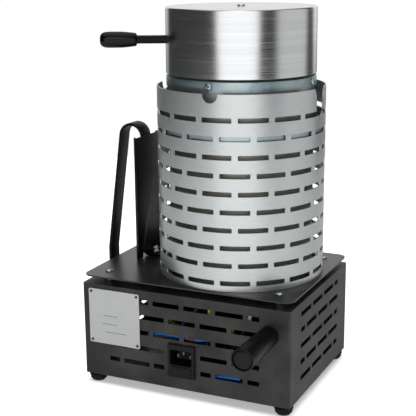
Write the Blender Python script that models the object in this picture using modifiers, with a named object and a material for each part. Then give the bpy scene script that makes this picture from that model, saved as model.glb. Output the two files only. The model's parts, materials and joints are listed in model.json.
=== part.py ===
"""Bench-top crucible melting furnace, built as separate named pieces.

Metres, +Z up.  The origin is on the bench, under the middle of the whole furnace's
box.  -Y is the side with the mains inlet, +X the side that the metal is poured from,
and +Y the side with the controls.  Every size below is in millimetres, across from the
middle of the cabinet and up from a zero line 3 mm above the bench, and one empty
carries all of the pieces to the origin.
"""
import math

import bmesh
import bpy
from mathutils import Matrix, Vector

MM = 0.001
GAP = 0.3                      # between pieces that touch

# ---------------------------------------------------------------- driving sizes, mm
BENCH_Z = -3.0                 # the bench, below the zero line of the heights
CAB_W, CAB_D, CAB_H = 233.0, 178.0, 101.0    # cabinet box along X, Y and Z
SHEET = 1.2                    # cabinet and guard sheet
FOOT_H = 10.0
FOOT_AT = (106.5, 79.0)
BOLT_AT = (96.5, 67.5)         # plate bolts
PLATE_W, PLATE_D, PLATE_T = 234.0, 176.0, 1.5
PLATE_LIFT = 7.2               # air gap between the cabinet and the plate
BOLT_R, BOLT_HOLE_R, BOLT_HEAD_R = 2.5, 2.8, 3.9

FURNACE = (26.3, 1.8)          # axis of the furnace tower
GUARD_R, GUARD_H = 86.6, 196.3
GUARD_ROWS, ROW_PITCH, ROW_FIRST, SLOT_H = 10, 18.05, 9.0, 5.0
GUARD_COLS = 15                # slots round the guard in one row
GUARD_START = -93.1            # degrees, first slot of the top row
POUR_LOW, POUR_HALF, POUR_TOP_HALF = 285.4, 8.6, 14.5     # notch in the guard's edge
COLLAR_R, COLLAR_H = 76.6, 10.0
SHELL_R, SHELL_T = 74.6, 0.8
HOOP_R, HOOP_H = 83.6, 12.0    # stands just inside the guard, behind its second row
LINER_TOP = 317.4
LID_R, LID_H, LID_WALL = 76.7, 65.9, 1.5
LID_GAP = 2.0
LID_HANDLE_DEG = 205.0
LID_ROD_Z, LID_ROD_R = 358.6, 4.2
PIN_DEG, PIN_REACH, PIN_R = 115.0, 60.0, 4.0
PIN_Z0, PIN_Z1 = 262.0, 379.0
SOCKET_Z0, SOCKET_WALL = 256.0, 2.6      # tube in the liner that takes the pin

GRIP_AT = (94.4, 80.6)         # X and Z of the base grip
GRIP_R, GRIP_WALL_R, GRIP_L = 11.6, 10.2, 67.4
STRAP_Y, STRAP_W, STRAP_T = 8.0, 18.0, 3.0
STRAP_LEG_X = -133.9           # middle of the strap's outer leg
STRAP_ELBOW_Z, STRAP_TAIL_Z = 93.0, 76.0     # turn to the cabinet's wall, and the end
SHIELD_X, SHIELD_FOLD, SHIELD_HALF, SHIELD_Z1 = -86.3, 4.5, 27.0, 252.0
INLET_X = -1.0
INLET_HOLE = (INLET_X - 13.3, INLET_X + 13.3, 21.9, 55.3)     # X from, to and Z from, to
CONTROL_X, CONTROL_Z, CONTROL_SIZE, CONTROL_PROUD = 42.0, 59.0, 48.0, 6.0
SWITCH_X, SWITCH_Z = -60.0, 59.0
ROCKER_REST_DEG = 8.0

# ---------------------------------------------------------------- heights and faces
CAB_Z0 = BENCH_Z + FOOT_H
CAB_Z1 = CAB_Z0 + CAB_H
PLATE_Z0 = CAB_Z1 + PLATE_LIFT
DECK = PLATE_Z0 + PLATE_T      # top of the plate, which the tower stands on
GUARD_Z1 = DECK + GUARD_H
COLLAR_Z1 = GUARD_Z1 + 10.4
LID_Z0 = COLLAR_Z1 + LID_GAP
LID_Z1 = LID_Z0 + LID_H
FACE_Y = -CAB_D / 2            # inlet face
BACK_Y = CAB_D / 2             # control face

# The whole furnace's box, from which the cabinet's place at the origin follows.
REACH_LEFT = STRAP_LEG_X - STRAP_T / 2
REACH_RIGHT = PLATE_W / 2
REACH_FRONT = FACE_Y - GAP - GRIP_L
REACH_BACK = BACK_Y + GAP + CONTROL_PROUD
CAB_X = -(REACH_LEFT + REACH_RIGHT) / 2
CAB_Y = -(REACH_FRONT + REACH_BACK) / 2


def clear_scene():
    for item in list(bpy.data.objects):
        bpy.data.objects.remove(item, do_unlink=True)


clear_scene()
scene = bpy.context.scene
parts = bpy.data.collections.new("crucible_furnace")
cutters = bpy.data.collections.new("cutters")
scene.collection.children.link(parts)
scene.collection.children.link(cutters)

origin = bpy.data.objects.new("furnace_origin", None)
origin.location = (CAB_X * MM, CAB_Y * MM, -BENCH_Z * MM)
parts.objects.link(origin)


# ---------------------------------------------------------------- materials
def material(name, hex_colour, roughness, metallic=0.0, alpha=1.0):
    mat = bpy.data.materials.new(name)
    mat.use_nodes = True
    shader = mat.node_tree.nodes["Principled BSDF"]
    rgb = [int(hex_colour[i:i + 2], 16) / 255 for i in (0, 2, 4)]
    linear = [c / 12.92 if c <= 0.04045 else ((c + 0.055) / 1.055) ** 2.4 for c in rgb]
    shader.inputs["Base Color"].default_value = (*linear, 1)
    shader.inputs["Roughness"].default_value = roughness
    shader.inputs["Metallic"].default_value = metallic
    shader.inputs["Alpha"].default_value = alpha
    mat.diffuse_color = (*linear, alpha)
    return mat


POWDER = material("powder_coat", "3c3c3a", 0.55, 0.2)
BLACK_METAL = material("black_metal", "191919", 0.4, 0.3)
PERFORATED = material("perforated_steel", "b9bcbc", 0.35, 0.9)
ZINC = material("zinc", "a9b1b6", 0.35, 1.0)
STEEL = material("bright_steel", "c6c8ca", 0.25, 1.0)
ALUMINIUM = material("turned_aluminium", "c9cacb", 0.3, 1.0)
PLATE_ALUMINIUM = material("plate_aluminium", "c4c5c4", 0.5, 0.8)
RUBBER = material("foot_rubber", "161616", 0.85)
PLASTIC = material("black_plastic", "121212", 0.45)
GRIP = material("grip_plastic", "0e0e0e", 0.25)
FIBRE = material("ceramic_fibre", "e6e1d4", 0.95)
CERAMIC = material("refractory", "d8cdb8", 0.9)
GRAPHITE = material("graphite", "2b2b2d", 0.6)
COIL_WIRE = material("heating_wire", "6b6560", 0.5, 1.0)
DISPLAY = material("display_glass", "200406", 0.1)
GLASS = material("fuse_glass", "d9e6e6", 0.05, 0.0, 0.4)
BLUE = material("blue_sleeve", "0a5aa8", 0.45)
RED = material("red_sleeve", "8a0d0d", 0.45)
GREEN = material("earth_sleeve", "5d9a1e", 0.45)
CREAM = material("terminal_plastic", "d9d2bd", 0.6)


# ---------------------------------------------------------------- helpers
def mesh_object(name, bm, collection=parts):
    bmesh.ops.recalc_face_normals(bm, faces=bm.faces)
    mesh = bpy.data.meshes.new(name)
    bm.to_mesh(mesh)
    bm.free()
    obj = bpy.data.objects.new(name, mesh)
    collection.objects.link(obj)
    return obj


def block_mesh(bm, low, high, radius=0.0, axis=2, segments=3):
    """A box from corner to corner in mm, its edges along one axis rounded."""
    low, high = Vector(low) * MM, Vector(high) * MM
    made = bmesh.ops.create_cube(bm, size=1.0)["verts"]
    size, middle = high - low, (high + low) / 2
    for vert in made:
        vert.co = Vector(vert.co[i] * size[i] + middle[i] for i in range(3))
    if radius:
        along = [e for e in bm.edges if e.verts[0] in made
                 and abs((e.verts[1].co - e.verts[0].co)[axis]) > size[axis] * 0.9]
        bmesh.ops.bevel(bm, geom=along, offset=radius * MM, segments=segments,
                        profile=0.5, affect="EDGES")


def block(name, low, high, radius=0.0, axis=2, segments=3, collection=parts):
    bm = bmesh.new()
    block_mesh(bm, low, high, radius, axis, segments)
    return mesh_object(name, bm, collection)


def rod_mesh(bm, start, end, radius, sides=24, radius_end=None):
    """A cylinder or a cone between two points in mm."""
    start, end = Vector(start) * MM, Vector(end) * MM
    line = end - start
    turn = line.to_track_quat("Z", "Y").to_matrix().to_4x4()
    place = Matrix.Translation((start + end) / 2) @ turn
    far = radius if radius_end is None else radius_end
    bmesh.ops.create_cone(bm, cap_ends=True, segments=sides, radius1=radius * MM,
                          radius2=far * MM, depth=line.length, matrix=place)


def rod(name, start, end, radius, sides=24, collection=parts, radius_end=None):
    bm = bmesh.new()
    rod_mesh(bm, start, end, radius, sides, radius_end)
    return mesh_object(name, bm, collection)


def turned(name, profile, at=(0, 0), steps=48, ring=False, collection=parts):
    """A profile of (radius, height) points turned about a vertical axis.

    The profile runs down its outer side.  A ring is a closed loop off the axis.
    """
    bm = bmesh.new()
    verts = [bm.verts.new((r * MM, 0, z * MM)) for r, z in profile]
    for a, b in zip(verts, verts[1:]):
        bm.edges.new((a, b))
    if ring:
        bm.edges.new((verts[-1], verts[0]))
    mesh = bpy.data.meshes.new(name)
    bm.to_mesh(mesh)
    bm.free()
    obj = bpy.data.objects.new(name, mesh)
    collection.objects.link(obj)
    obj.location = (at[0] * MM, at[1] * MM, 0)
    screw = obj.modifiers.new("turn", "SCREW")
    screw.steps = screw.render_steps = steps
    screw.use_merge_vertices = True
    screw.merge_threshold = 0.00002
    return obj


def hollow_profile(outer, inner, low, high):
    """The closed section of a plain tube."""
    return [(inner, high), (outer, high), (outer, low), (inner, low)]


def cut(target, cutter):
    """Takes the cutter out of the target with an exact Boolean."""
    cutter.hide_render = True
    cutter.display_type = "WIRE"
    cutter.parent = origin
    boolean = target.modifiers.new("cut_" + cutter.name, "BOOLEAN")
    boolean.operation = "DIFFERENCE"
    boolean.solver = "EXACT"
    boolean.object = cutter


def fuse_together(target, other):
    """Adds the other shape to the target as one closed body."""
    other.hide_render = True
    other.display_type = "WIRE"
    other.parent = origin
    boolean = target.modifiers.new("join_" + other.name, "BOOLEAN")
    boolean.operation = "UNION"
    boolean.solver = "EXACT"
    boolean.object = other


def prism(name, outline, axis, low, high, collection=parts):
    """An outline of (first, second) axis points in mm, extruded along the third."""
    bm = bmesh.new()
    first, second = [i for i in range(3) if i != axis]
    verts = []
    for a, b in outline:
        spot = [0.0, 0.0, 0.0]
        spot[first], spot[second], spot[axis] = a * MM, b * MM, low * MM
        verts.append(bm.verts.new(spot))
    face = bm.faces.new(verts)
    grown = bmesh.ops.extrude_face_region(bm, geom=[face])["geom"]
    push = Vector((0, 0, 0))
    push[axis] = (high - low) * MM
    moved = [g for g in grown if isinstance(g, bmesh.types.BMVert)]
    bmesh.ops.translate(bm, verts=moved, vec=push)
    return mesh_object(name, bm, collection)


def rounded_path(corners, segments=6):
    """Points along straight runs whose corners (a, b, radius) are arcs."""
    points = []
    for i, (a, b, radius) in enumerate(corners):
        here = Vector((a, b))
        if not radius or i in (0, len(corners) - 1):
            points.append(here)
            continue
        back = (Vector(corners[i - 1][:2]) - here).normalized()
        ahead = (Vector(corners[i + 1][:2]) - here).normalized()
        half = back.angle(ahead) / 2
        reach = radius / math.tan(half)
        centre = here + (back + ahead).normalized() * radius / math.sin(half)
        start, end = here + back * reach - centre, here + ahead * reach - centre
        sweep = start.angle_signed(end)
        for k in range(segments + 1):
            turn = Matrix.Rotation(-sweep * k / segments, 2)
            points.append(centre + turn @ start)
    return points


def strip(name, path, across, low, high, thickness):
    """A flat bar: a path in the plane across one axis, widened along that axis."""
    bm = bmesh.new()
    first, second = [i for i in range(3) if i != across]
    edges = []
    for level in (low, high):
        row = []
        for point in path:
            spot = [0.0, 0.0, 0.0]
            spot[first], spot[second], spot[across] = point[0] * MM, point[1] * MM, level * MM
            row.append(bm.verts.new(spot))
        edges.append(row)
    for i in range(len(path) - 1):
        bm.faces.new((edges[0][i], edges[0][i + 1], edges[1][i + 1], edges[1][i]))
    obj = mesh_object(name, bm)
    wall = obj.modifiers.new("thickness", "SOLIDIFY")
    wall.thickness = thickness * MM
    wall.offset = 0.0
    wall.use_even_offset = True
    return obj


def wire(name, points, radius):
    """A round wire or rod along points in mm."""
    curve = bpy.data.curves.new(name, "CURVE")
    curve.dimensions = "3D"
    spline = curve.splines.new("POLY")
    spline.points.add(len(points) - 1)
    for target, point in zip(spline.points, points):
        target.co = (point[0] * MM, point[1] * MM, point[2] * MM, 1)
    curve.bevel_depth = radius * MM
    curve.bevel_resolution = 2
    curve.use_fill_caps = True
    obj = bpy.data.objects.new(name, curve)
    parts.objects.link(obj)
    return obj


def finish(obj, mat, pivot=None, carrier=None, smooth=True):
    """Gives a piece its material, its origin on a joint's axis, and its parent."""
    if pivot is not None:
        spot = Vector(pivot) * MM
        shift = Vector(obj.location) - spot
        obj.data.transform(Matrix.Translation(shift))
        obj.location = spot
    obj.data.materials.append(mat)
    if smooth and obj.type == "MESH":
        obj.data.shade_smooth()
        if obj.data.polygons:
            obj.data.set_sharp_from_angle(angle=math.radians(35))
    obj.parent = carrier or origin
    if carrier is not None:
        obj.location = Vector(obj.location) - Vector(carrier.location)
    return obj


def polar(radius, degrees, at=FURNACE):
    angle = math.radians(degrees)
    return at[0] + radius * math.cos(angle), at[1] + radius * math.sin(angle)


CORNERS = {"front_left": (-1, -1), "front_right": (1, -1),
           "rear_left": (-1, 1), "rear_right": (1, 1)}


# ---------------------------------------------------------------- cabinet
SLOT_W, SLOT_GAP, WALL_SLOT_H = 30.0, 5.1, 5.0
SLOT_TOPS = (98.1, 81.6, 64.6, 47.3, 30.3)   # rows of slots, from the top one down


def slot_runs(low, high, start, closed=()):
    """The (from, to) stretches of one row, clipped at the field's and gaps' edges."""
    pitch = SLOT_W + SLOT_GAP
    first = start - pitch * math.ceil((start - low) / pitch)
    runs = []
    k = 0
    while first + k * pitch < high:
        a, b = max(first + k * pitch, low), min(first + k * pitch + SLOT_W, high)
        for gap_low, gap_high in closed:
            if a < gap_high and b > gap_low:
                if gap_high < b:
                    runs.append((gap_high, b))
                b = min(b, gap_low)
        if b - a > 4:
            runs.append((a, b))
        k += 1
    return [run for run in runs if run[1] - run[0] > 4]


def cabinet():
    half_w, half_d = CAB_W / 2, CAB_D / 2
    flange = 25.0
    shell = block("cabinet_shell", (-half_w, -half_d, CAB_Z0), (half_w, half_d, CAB_Z1), 2.0)
    inner_w, inner_d = half_w - SHEET, half_d - SHEET
    cut(shell, block("cabinet_inside", (-inner_w, -inner_d, CAB_Z0 - 5),
                     (inner_w, inner_d, CAB_Z1 - SHEET), 1.0, collection=cutters))
    cut(shell, block("cabinet_mouth", (flange - half_w, flange - half_d, CAB_Z0),
                     (half_w - flange, half_d - flange, CAB_Z1 + 5), collection=cutters))

    bm = bmesh.new()
    for row, top in enumerate(SLOT_TOPS):
        long_row = row % 2 == 0
        inlet = [(-21.5, 19.4)] if row > 2 else []
        for a, b in slot_runs(-86, 84, -33.8 if long_row else -16.0, inlet):
            block_mesh(bm, (a, -half_d - 5, top - WALL_SLOT_H), (b, -half_d + 5, top))
        for a, b in slot_runs(-58.5, 58.0, -58.5 if long_row else -41.4):
            block_mesh(bm, (half_w - 5, a, top - WALL_SLOT_H), (half_w + 5, b, top))
            block_mesh(bm, (-half_w - 5, a, top - WALL_SLOT_H), (5 - half_w, b, top))
    side = INLET_HOLE
    block_mesh(bm, (side[0], -half_d - 5, side[2]), (side[1], -half_d + 5, side[3]))
    hole = CONTROL_SIZE / 2 - 1.3
    block_mesh(bm, (CONTROL_X - hole, half_d - 5, CONTROL_Z - hole),
               (CONTROL_X + hole, half_d + 5, CONTROL_Z + hole))
    block_mesh(bm, (SWITCH_X - 10, half_d - 5, SWITCH_Z - 14),
               (SWITCH_X + 10, half_d + 5, SWITCH_Z + 14))
    rod_mesh(bm, (GRIP_AT[0], FACE_Y - 5, GRIP_AT[1]), (GRIP_AT[0], FACE_Y + 5, GRIP_AT[1]), 4.2, 16)
    for sx, sy in CORNERS.values():
        x, y = sx * BOLT_AT[0], sy * BOLT_AT[1]
        rod_mesh(bm, (x, y, CAB_Z1 - 5), (x, y, CAB_Z1 + 5), BOLT_HOLE_R, 16)
    cut(shell, mesh_object("cabinet_openings", bm, cutters))
    finish(shell, POWDER)

    edge = SHEET + GAP
    base = block("cabinet_base", (edge - half_w, edge - half_d, CAB_Z0),
                 (half_w - edge, half_d - edge, CAB_Z0 + 1.5), 1.0)
    finish(base, POWDER)

    top = CAB_Z0 - GAP
    outline = [(0, top), (8.0, top), (8.0, top - 1.2), (9.4, top - 1.6), (9.8, top - 2.8),
               (9.4, top - 4.0), (8.4, top - 4.5), (8.9, top - 5.2), (9.0, top - 6.2),
               (8.2, top - 7.6), (6.5, BENCH_Z), (0, BENCH_Z)]
    for name, (sx, sy) in CORNERS.items():
        foot = turned("foot_" + name, outline, (sx * FOOT_AT[0], sy * FOOT_AT[1]), 24)
        finish(foot, RUBBER)


# ---------------------------------------------------------------- plate on top
def bolt_outline(seat, end):
    """Half the section of a low domed bolt, from its head's seat down to its end."""
    return [(0, seat + 2.4), (1.6, seat + 2.2), (3.1, seat + 1.4), (BOLT_HEAD_R, seat + 0.4),
            (BOLT_HEAD_R, seat), (BOLT_R, seat), (BOLT_R, end), (0, end)]


def top_plate():
    plate = block("top_plate", (-PLATE_W / 2, -PLATE_D / 2, PLATE_Z0),
                  (PLATE_W / 2, PLATE_D / 2, DECK), 10.0, segments=5)
    bm = bmesh.new()
    for sx, sy in CORNERS.values():
        x, y = sx * BOLT_AT[0], sy * BOLT_AT[1]
        rod_mesh(bm, (x, y, PLATE_Z0 - 5), (x, y, DECK + 5), BOLT_HOLE_R, 16)
    rod_mesh(bm, (STRAP_BOLT_X, STRAP_Y, PLATE_Z0 - 5), (STRAP_BOLT_X, STRAP_Y, DECK + 5),
             BOLT_HOLE_R, 16)
    x, y = FURNACE
    rod_mesh(bm, (x, y, PLATE_Z0 - 5), (x, y, DECK + 5), 40.0, 32)
    cut(plate, mesh_object("plate_holes", bm, cutters))
    finish(plate, POWDER)

    for name, (sx, sy) in CORNERS.items():
        x, y = sx * BOLT_AT[0], sy * BOLT_AT[1]
        spacer = turned("spacer_" + name,
                        hollow_profile(5.5, BOLT_HOLE_R, CAB_Z1 + GAP, PLATE_Z0 - GAP),
                        (x, y), 16, ring=True)
        finish(spacer, ZINC)
        bolt = turned("plate_bolt_" + name, bolt_outline(DECK + GAP, CAB_Z1 - 9), (x, y), 16)
        finish(bolt, ZINC)


# ---------------------------------------------------------------- inlet face
INLET_PROUD, INLET_DEPTH = 3.0, 25.0
SOCKET_Z, SOCKET_W, SOCKET_H, SOCKET_DEEP = 42.4, 24.5, 16.5, 17.0
DRAWER_LOW, DRAWER_HIGH, DRAWER_W = 22.4, 32.6, 22.0


def inlet():
    front = FACE_Y - GAP - INLET_PROUD
    rear = FACE_Y + INLET_DEPTH
    body = block("inlet_housing", (INLET_X - 15.2, front, 20.6),
                 (INLET_X + 15.2, FACE_Y - GAP, 56.4), 2.5, axis=1)
    low, high = INLET_HOLE[2] + GAP, INLET_HOLE[3] - GAP
    fuse_together(body, block("inlet_body", (INLET_X - 13.0, front + 1, low),
                              (INLET_X + 13.0, rear, high), collection=cutters))
    bm = bmesh.new()
    half = SOCKET_W / 2
    block_mesh(bm, (INLET_X - half, front - 5, SOCKET_Z - SOCKET_H / 2),
               (INLET_X + half, front + SOCKET_DEEP, SOCKET_Z + SOCKET_H / 2), 2.5, axis=1)
    block_mesh(bm, (INLET_X - DRAWER_W / 2 - GAP, front - 5, DRAWER_LOW - GAP),
               (INLET_X + DRAWER_W / 2 + GAP, front + 24.5, DRAWER_HIGH + GAP))
    cut(body, mesh_object("inlet_hollows", bm, cutters))
    finish(body, PLASTIC)

    for name, dx, dz in (("pin_live", 7, -1.0), ("pin_neutral", -7, -1.0), ("pin_earth", 0, 3.0)):
        x, z = INLET_X + dx, SOCKET_Z + dz
        back = front + SOCKET_DEEP - GAP
        reach = 2.6 if name == "pin_earth" else 4.0
        blade = block(name, (x - 1.0, front + reach, z - 2.0), (x + 1.0, back, z + 2.0),
                      0.6, axis=1, segments=2)
        finish(blade, ZINC)

    drawer = block("fuse_drawer", (INLET_X - DRAWER_W / 2, front - 0.6, DRAWER_LOW),
                   (INLET_X + DRAWER_W / 2, front + 24.0, DRAWER_HIGH), 0.8, axis=1, segments=2)
    bm = bmesh.new()
    block_mesh(bm, (INLET_X - 3.1, front + 2.4, DRAWER_LOW + 2.0),
               (INLET_X + 3.1, front + 23.2, DRAWER_HIGH + 5))
    cut(drawer, mesh_object("fuse_bed", bm, cutters))
    finish(drawer, PLASTIC, (INLET_X, front, DRAWER_LOW))
    fuse = rod("fuse", (INLET_X, front + 2.8, DRAWER_LOW + 4.9),
               (INLET_X, front + 22.8, DRAWER_LOW + 4.9), 2.5, 16)
    finish(fuse, GLASS, (INLET_X, front, DRAWER_LOW))

    plate_low = FACE_Y - GAP - 1.0
    finish(block("rating_plate", (-108.6, plate_low, 43.9), (-49.0, FACE_Y - GAP, 103.5),
                 1.5, axis=1), PLATE_ALUMINIUM)


def base_grip():
    x, z = GRIP_AT
    end = FACE_Y - GAP - GRIP_L
    recess = GRIP_R - 1.8
    tube = turned("base_grip",
                  [(recess, GRIP_L), (GRIP_R - 0.8, GRIP_L), (GRIP_R - 0.2, GRIP_L - 0.3),
                   (GRIP_R, GRIP_L - 1.0), (GRIP_WALL_R, 0), (4.2, 0), (4.2, GRIP_L - 6),
                   (recess, GRIP_L - 6)], steps=32, ring=True)
    tube.location = (x * MM, (FACE_Y - GAP) * MM, z * MM)
    tube.rotation_euler = (math.radians(90), 0, 0)
    finish(tube, GRIP)

    plug = rod("grip_plug", (x, end + 0.8, z), (x, end + 5.7, z), GRIP_R - 2.1, 32)
    finish(plug, PLASTIC)
    bolt = rod("grip_bolt", (x, end + 6.0, z), (x, FACE_Y + 9, z), 3.8, 16)
    finish(bolt, ZINC)


# ---------------------------------------------------------------- strap and shield
STRAP_BOLT_X = -81.0
STRAP_WALL_X = -CAB_W / 2 - GAP - STRAP_T / 2
STRAP_FOOT_Z = DECK + GAP + STRAP_T / 2
STRAP_PATH = [(STRAP_WALL_X, STRAP_TAIL_Z, 0), (STRAP_WALL_X, STRAP_ELBOW_Z, 5),
              (STRAP_LEG_X, STRAP_ELBOW_Z, 5), (STRAP_LEG_X, 121.0, 20),
              (-114.4, 263.0, 13), (-90.0, 263.0, 13),
              (-90.0, STRAP_FOOT_Z, 5), (-72.0, STRAP_FOOT_Z, 0)]


def strap_and_shield():
    path = rounded_path(STRAP_PATH)
    strap = strip("strap_handle", path, 1, STRAP_Y - STRAP_W / 2, STRAP_Y + STRAP_W / 2, STRAP_T)
    hole = rod("strap_hole", (STRAP_BOLT_X, STRAP_Y, DECK - 1), (STRAP_BOLT_X, STRAP_Y, DECK + 9),
               BOLT_HOLE_R, 16, cutters)
    cut(strap, hole)
    finish(strap, BLACK_METAL)

    bolt = turned("strap_bolt", bolt_outline(STRAP_FOOT_Z + STRAP_T / 2 + GAP, PLATE_Z0 - 2),
                  (STRAP_BOLT_X, STRAP_Y), 16)
    finish(bolt, ZINC)

    back_x, near, far = SHIELD_X - SHIELD_FOLD, STRAP_Y - SHIELD_HALF, STRAP_Y + SHIELD_HALF
    outline = [(back_x, near + SHIELD_FOLD), (SHIELD_X, near), (SHIELD_X, far),
               (back_x, far - SHIELD_FOLD)]
    shield = strip("heat_shield", outline, 2, DECK + GAP, SHIELD_Z1, 1.5)
    cut(shield, block("shield_arch", (-110, near + 9, DECK - 5), (-60, far - 9, DECK + 6.2),
                      collection=cutters))
    finish(shield, BLACK_METAL)


# ---------------------------------------------------------------- furnace tower
def guard():
    """Punched sheet rolled into a tube: 15 slots a row, each row turned half a pitch."""
    pitch = 360.0 / GUARD_COLS
    marks = (0.0, 8.0, 12.0, 20.0)          # degrees within one pitch
    angles = [GUARD_START + pitch * k + m for k in range(GUARD_COLS) for m in marks]
    levels = [DECK + GAP]
    for row in range(GUARD_ROWS):
        middle = DECK + ROW_FIRST + ROW_PITCH * row
        levels += [middle - SLOT_H / 2, middle + SLOT_H / 2]
    levels.append(GUARD_Z1)
    bm = bmesh.new()
    grid = [[bm.verts.new((GUARD_R * MM * math.cos(math.radians(a)),
                           GUARD_R * MM * math.sin(math.radians(a)), z * MM))
             for a in angles] for z in levels]
    count = len(angles)
    for band in range(len(levels) - 1):
        row = GUARD_ROWS - 1 - (band - 1) // 2          # 0 is the top row
        bridge = 3 if row % 2 == 0 else 1               # the segment left between slots
        for i in range(count):
            if band % 2 == 1 and i % 4 != bridge:
                continue
            j = (i + 1) % count
            bm.faces.new((grid[band][i], grid[band][j], grid[band + 1][j], grid[band + 1][i]))
    tube = mesh_object("guard", bm)
    tube.location = (FURNACE[0] * MM, FURNACE[1] * MM, 0)
    wall = tube.modifiers.new("sheet", "SOLIDIFY")
    wall.thickness = SHEET * MM
    wall.offset = -1.0

    spout_y = FURNACE[1] - 3.0
    arc = [(spout_y + POUR_HALF * math.cos(math.radians(a)),
            POUR_LOW + POUR_HALF * (1 + math.sin(math.radians(a)))) for a in range(180, 361, 30)]
    outline = [(spout_y - POUR_TOP_HALF, GUARD_Z1 + 5), (spout_y - POUR_HALF, GUARD_Z1 - 7), *arc,
               (spout_y + POUR_HALF, GUARD_Z1 - 7), (spout_y + POUR_TOP_HALF, GUARD_Z1 + 5)]
    spout = prism("pour_notch", outline, 0, FURNACE[0] + 60, FURNACE[0] + 110, cutters)
    cut(tube, spout)
    bm = bmesh.new()
    for degrees in (-87.4, 92.6, 182.6):
        start, end = polar(GUARD_R - 8, degrees), polar(GUARD_R + 8, degrees)
        rod_mesh(bm, (*start, GUARD_Z1 - 0.8), (*end, GUARD_Z1 - 0.8), 8.0, 20)
    cut(tube, mesh_object("screw_notches", bm, cutters))
    finish(tube, PERFORATED)


SCREW_Z, SCREW_DEGREES = COLLAR_Z1 - 4.9, (-91.0, 0.0, 90.0, 180.0)
THERMO_R, THERMO_DEG = 33.6, 60.0
CHAMBER_Z = 135.0
HOOP_Z = DECK + ROW_FIRST + ROW_PITCH * (GUARD_ROWS - 2)


def radial_holes(name, start, radius):
    """A cutter for the four collar screws, from one radius outward."""
    bm = bmesh.new()
    for degrees in SCREW_DEGREES:
        rod_mesh(bm, (*polar(start, degrees), SCREW_Z), (*polar(90, degrees), SCREW_Z), radius, 12)
    return mesh_object(name, bm, cutters)


def upright_hole(name, at, low, high, radius, sides=12):
    return rod(name, (*at, low), (*at, high), radius, sides, cutters)


def tower():
    shell_low = DECK + GAP
    floor_low, floor_high = shell_low + SHELL_T + GAP, CHAMBER_Z - GAP
    thermo = polar(THERMO_R, THERMO_DEG)
    pin = polar(PIN_REACH, PIN_DEG)

    shell = turned("furnace_shell",
                   [(0, shell_low + SHELL_T), (SHELL_R - SHELL_T, shell_low + SHELL_T),
                    (SHELL_R - SHELL_T, COLLAR_Z1 - 2.0), (SHELL_R, COLLAR_Z1 - 2.0),
                    (SHELL_R, shell_low), (0, shell_low)], FURNACE, 40)
    cut(shell, radial_holes("shell_screw_holes", 60, 2.4))
    cut(shell, upright_hole("shell_floor_hole", thermo, shell_low - 5, shell_low + 5, 2.4))
    finish(shell, STEEL)

    low, high, inner = HOOP_Z - HOOP_H / 2, HOOP_Z + HOOP_H / 2, SHELL_R + GAP
    finish(turned("shell_hoop",
                  [(HOOP_R - SHEET, high), (HOOP_R, high), (HOOP_R, low), (inner, low),
                   (inner, low + SHEET), (HOOP_R - SHEET, low + SHEET)],
                  FURNACE, 40, ring=True), ZINC)

    collar = turned("collar_ring",
                    [(50.0, COLLAR_Z1), (COLLAR_R - 0.6, COLLAR_Z1), (COLLAR_R, COLLAR_Z1 - 0.6),
                     (COLLAR_R, COLLAR_Z1 - COLLAR_H), (COLLAR_R - SHEET, COLLAR_Z1 - COLLAR_H),
                     (COLLAR_R - SHEET, COLLAR_Z1 - SHEET), (50.0, COLLAR_Z1 - SHEET)],
                    FURNACE, 48, ring=True)
    cut(collar, radial_holes("collar_screw_holes", 60, 2.4))
    cut(collar, upright_hole("collar_pin_hole", pin, COLLAR_Z1 - 5, COLLAR_Z1 + 5, PIN_R + 0.6, 16))
    finish(collar, ZINC)

    for index, degrees in enumerate(SCREW_DEGREES):
        bm = bmesh.new()
        rod_mesh(bm, (*polar(70, degrees), SCREW_Z), (*polar(COLLAR_R + 1, degrees), SCREW_Z), 2.0, 12)
        head = bmesh.new()
        rod_mesh(head, (*polar(COLLAR_R + GAP, degrees), SCREW_Z),
                 (*polar(COLLAR_R + 2.7, degrees), SCREW_Z), 3.9, 16, 3.0)
        screw = mesh_object("collar_screw_%d" % (index + 1), head)
        fuse_together(screw, mesh_object("screw_shank_%d" % (index + 1), bm, cutters))
        finish(screw, STEEL)

    wall_r = SHELL_R - SHELL_T - GAP
    liner = turned("insulation_liner",
                   [(0, floor_high), (48.0, floor_high), (48.0, LINER_TOP), (wall_r, LINER_TOP),
                    (wall_r, floor_low), (0, floor_low)], FURNACE, 32)
    cut(liner, upright_hole("liner_pin_hole", pin, SOCKET_Z0 - 1, LINER_TOP + 8,
                            PIN_R + SOCKET_WALL + 0.4, 16))
    cut(liner, radial_holes("liner_screw_holes", 66, 2.8))
    cut(liner, upright_hole("liner_floor_hole", thermo, floor_low - 5, floor_high + 5, 2.4))
    finish(liner, FIBRE)

    finish(turned("heater_muffle", hollow_profile(42.6, 36.2, CHAMBER_Z, LINER_TOP), FURNACE, 32,
                  ring=True), CERAMIC)
    turns, points_per_turn = 5, 12
    helix = []
    for k in range(turns * points_per_turn + 1):
        x, y = polar(46.0, 360.0 * k / points_per_turn)
        helix.append((x, y, 150.0 + 150.0 * k / (turns * points_per_turn)))
    finish(wire("heating_coil", helix, 1.0), COIL_WIRE)
    finish(rod("thermocouple", (*thermo, DECK - 6), (*thermo, 250.0), 1.9, 12), STEEL)

    finish(turned("mouth_ring", hollow_profile(49.7, 33.0, LINER_TOP + GAP, COLLAR_Z1), FURNACE, 32,
                  ring=True), CERAMIC)
    crucible = turned("crucible",
                      [(0, CHAMBER_Z + 12), (18.5, CHAMBER_Z + 13), (20.0, CHAMBER_Z + 15),
                       (24.5, COLLAR_Z1 - 6), (25.5, COLLAR_Z1 - 5), (29.5, COLLAR_Z1 - 5),
                       (30.2, COLLAR_Z1 - 6), (30.2, COLLAR_Z1 - 14), (29.2, COLLAR_Z1 - 16),
                       (25.0, CHAMBER_Z + 3), (23.5, CHAMBER_Z + GAP), (0, CHAMBER_Z + GAP)],
                      FURNACE, 32)
    finish(crucible, GRAPHITE)


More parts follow.
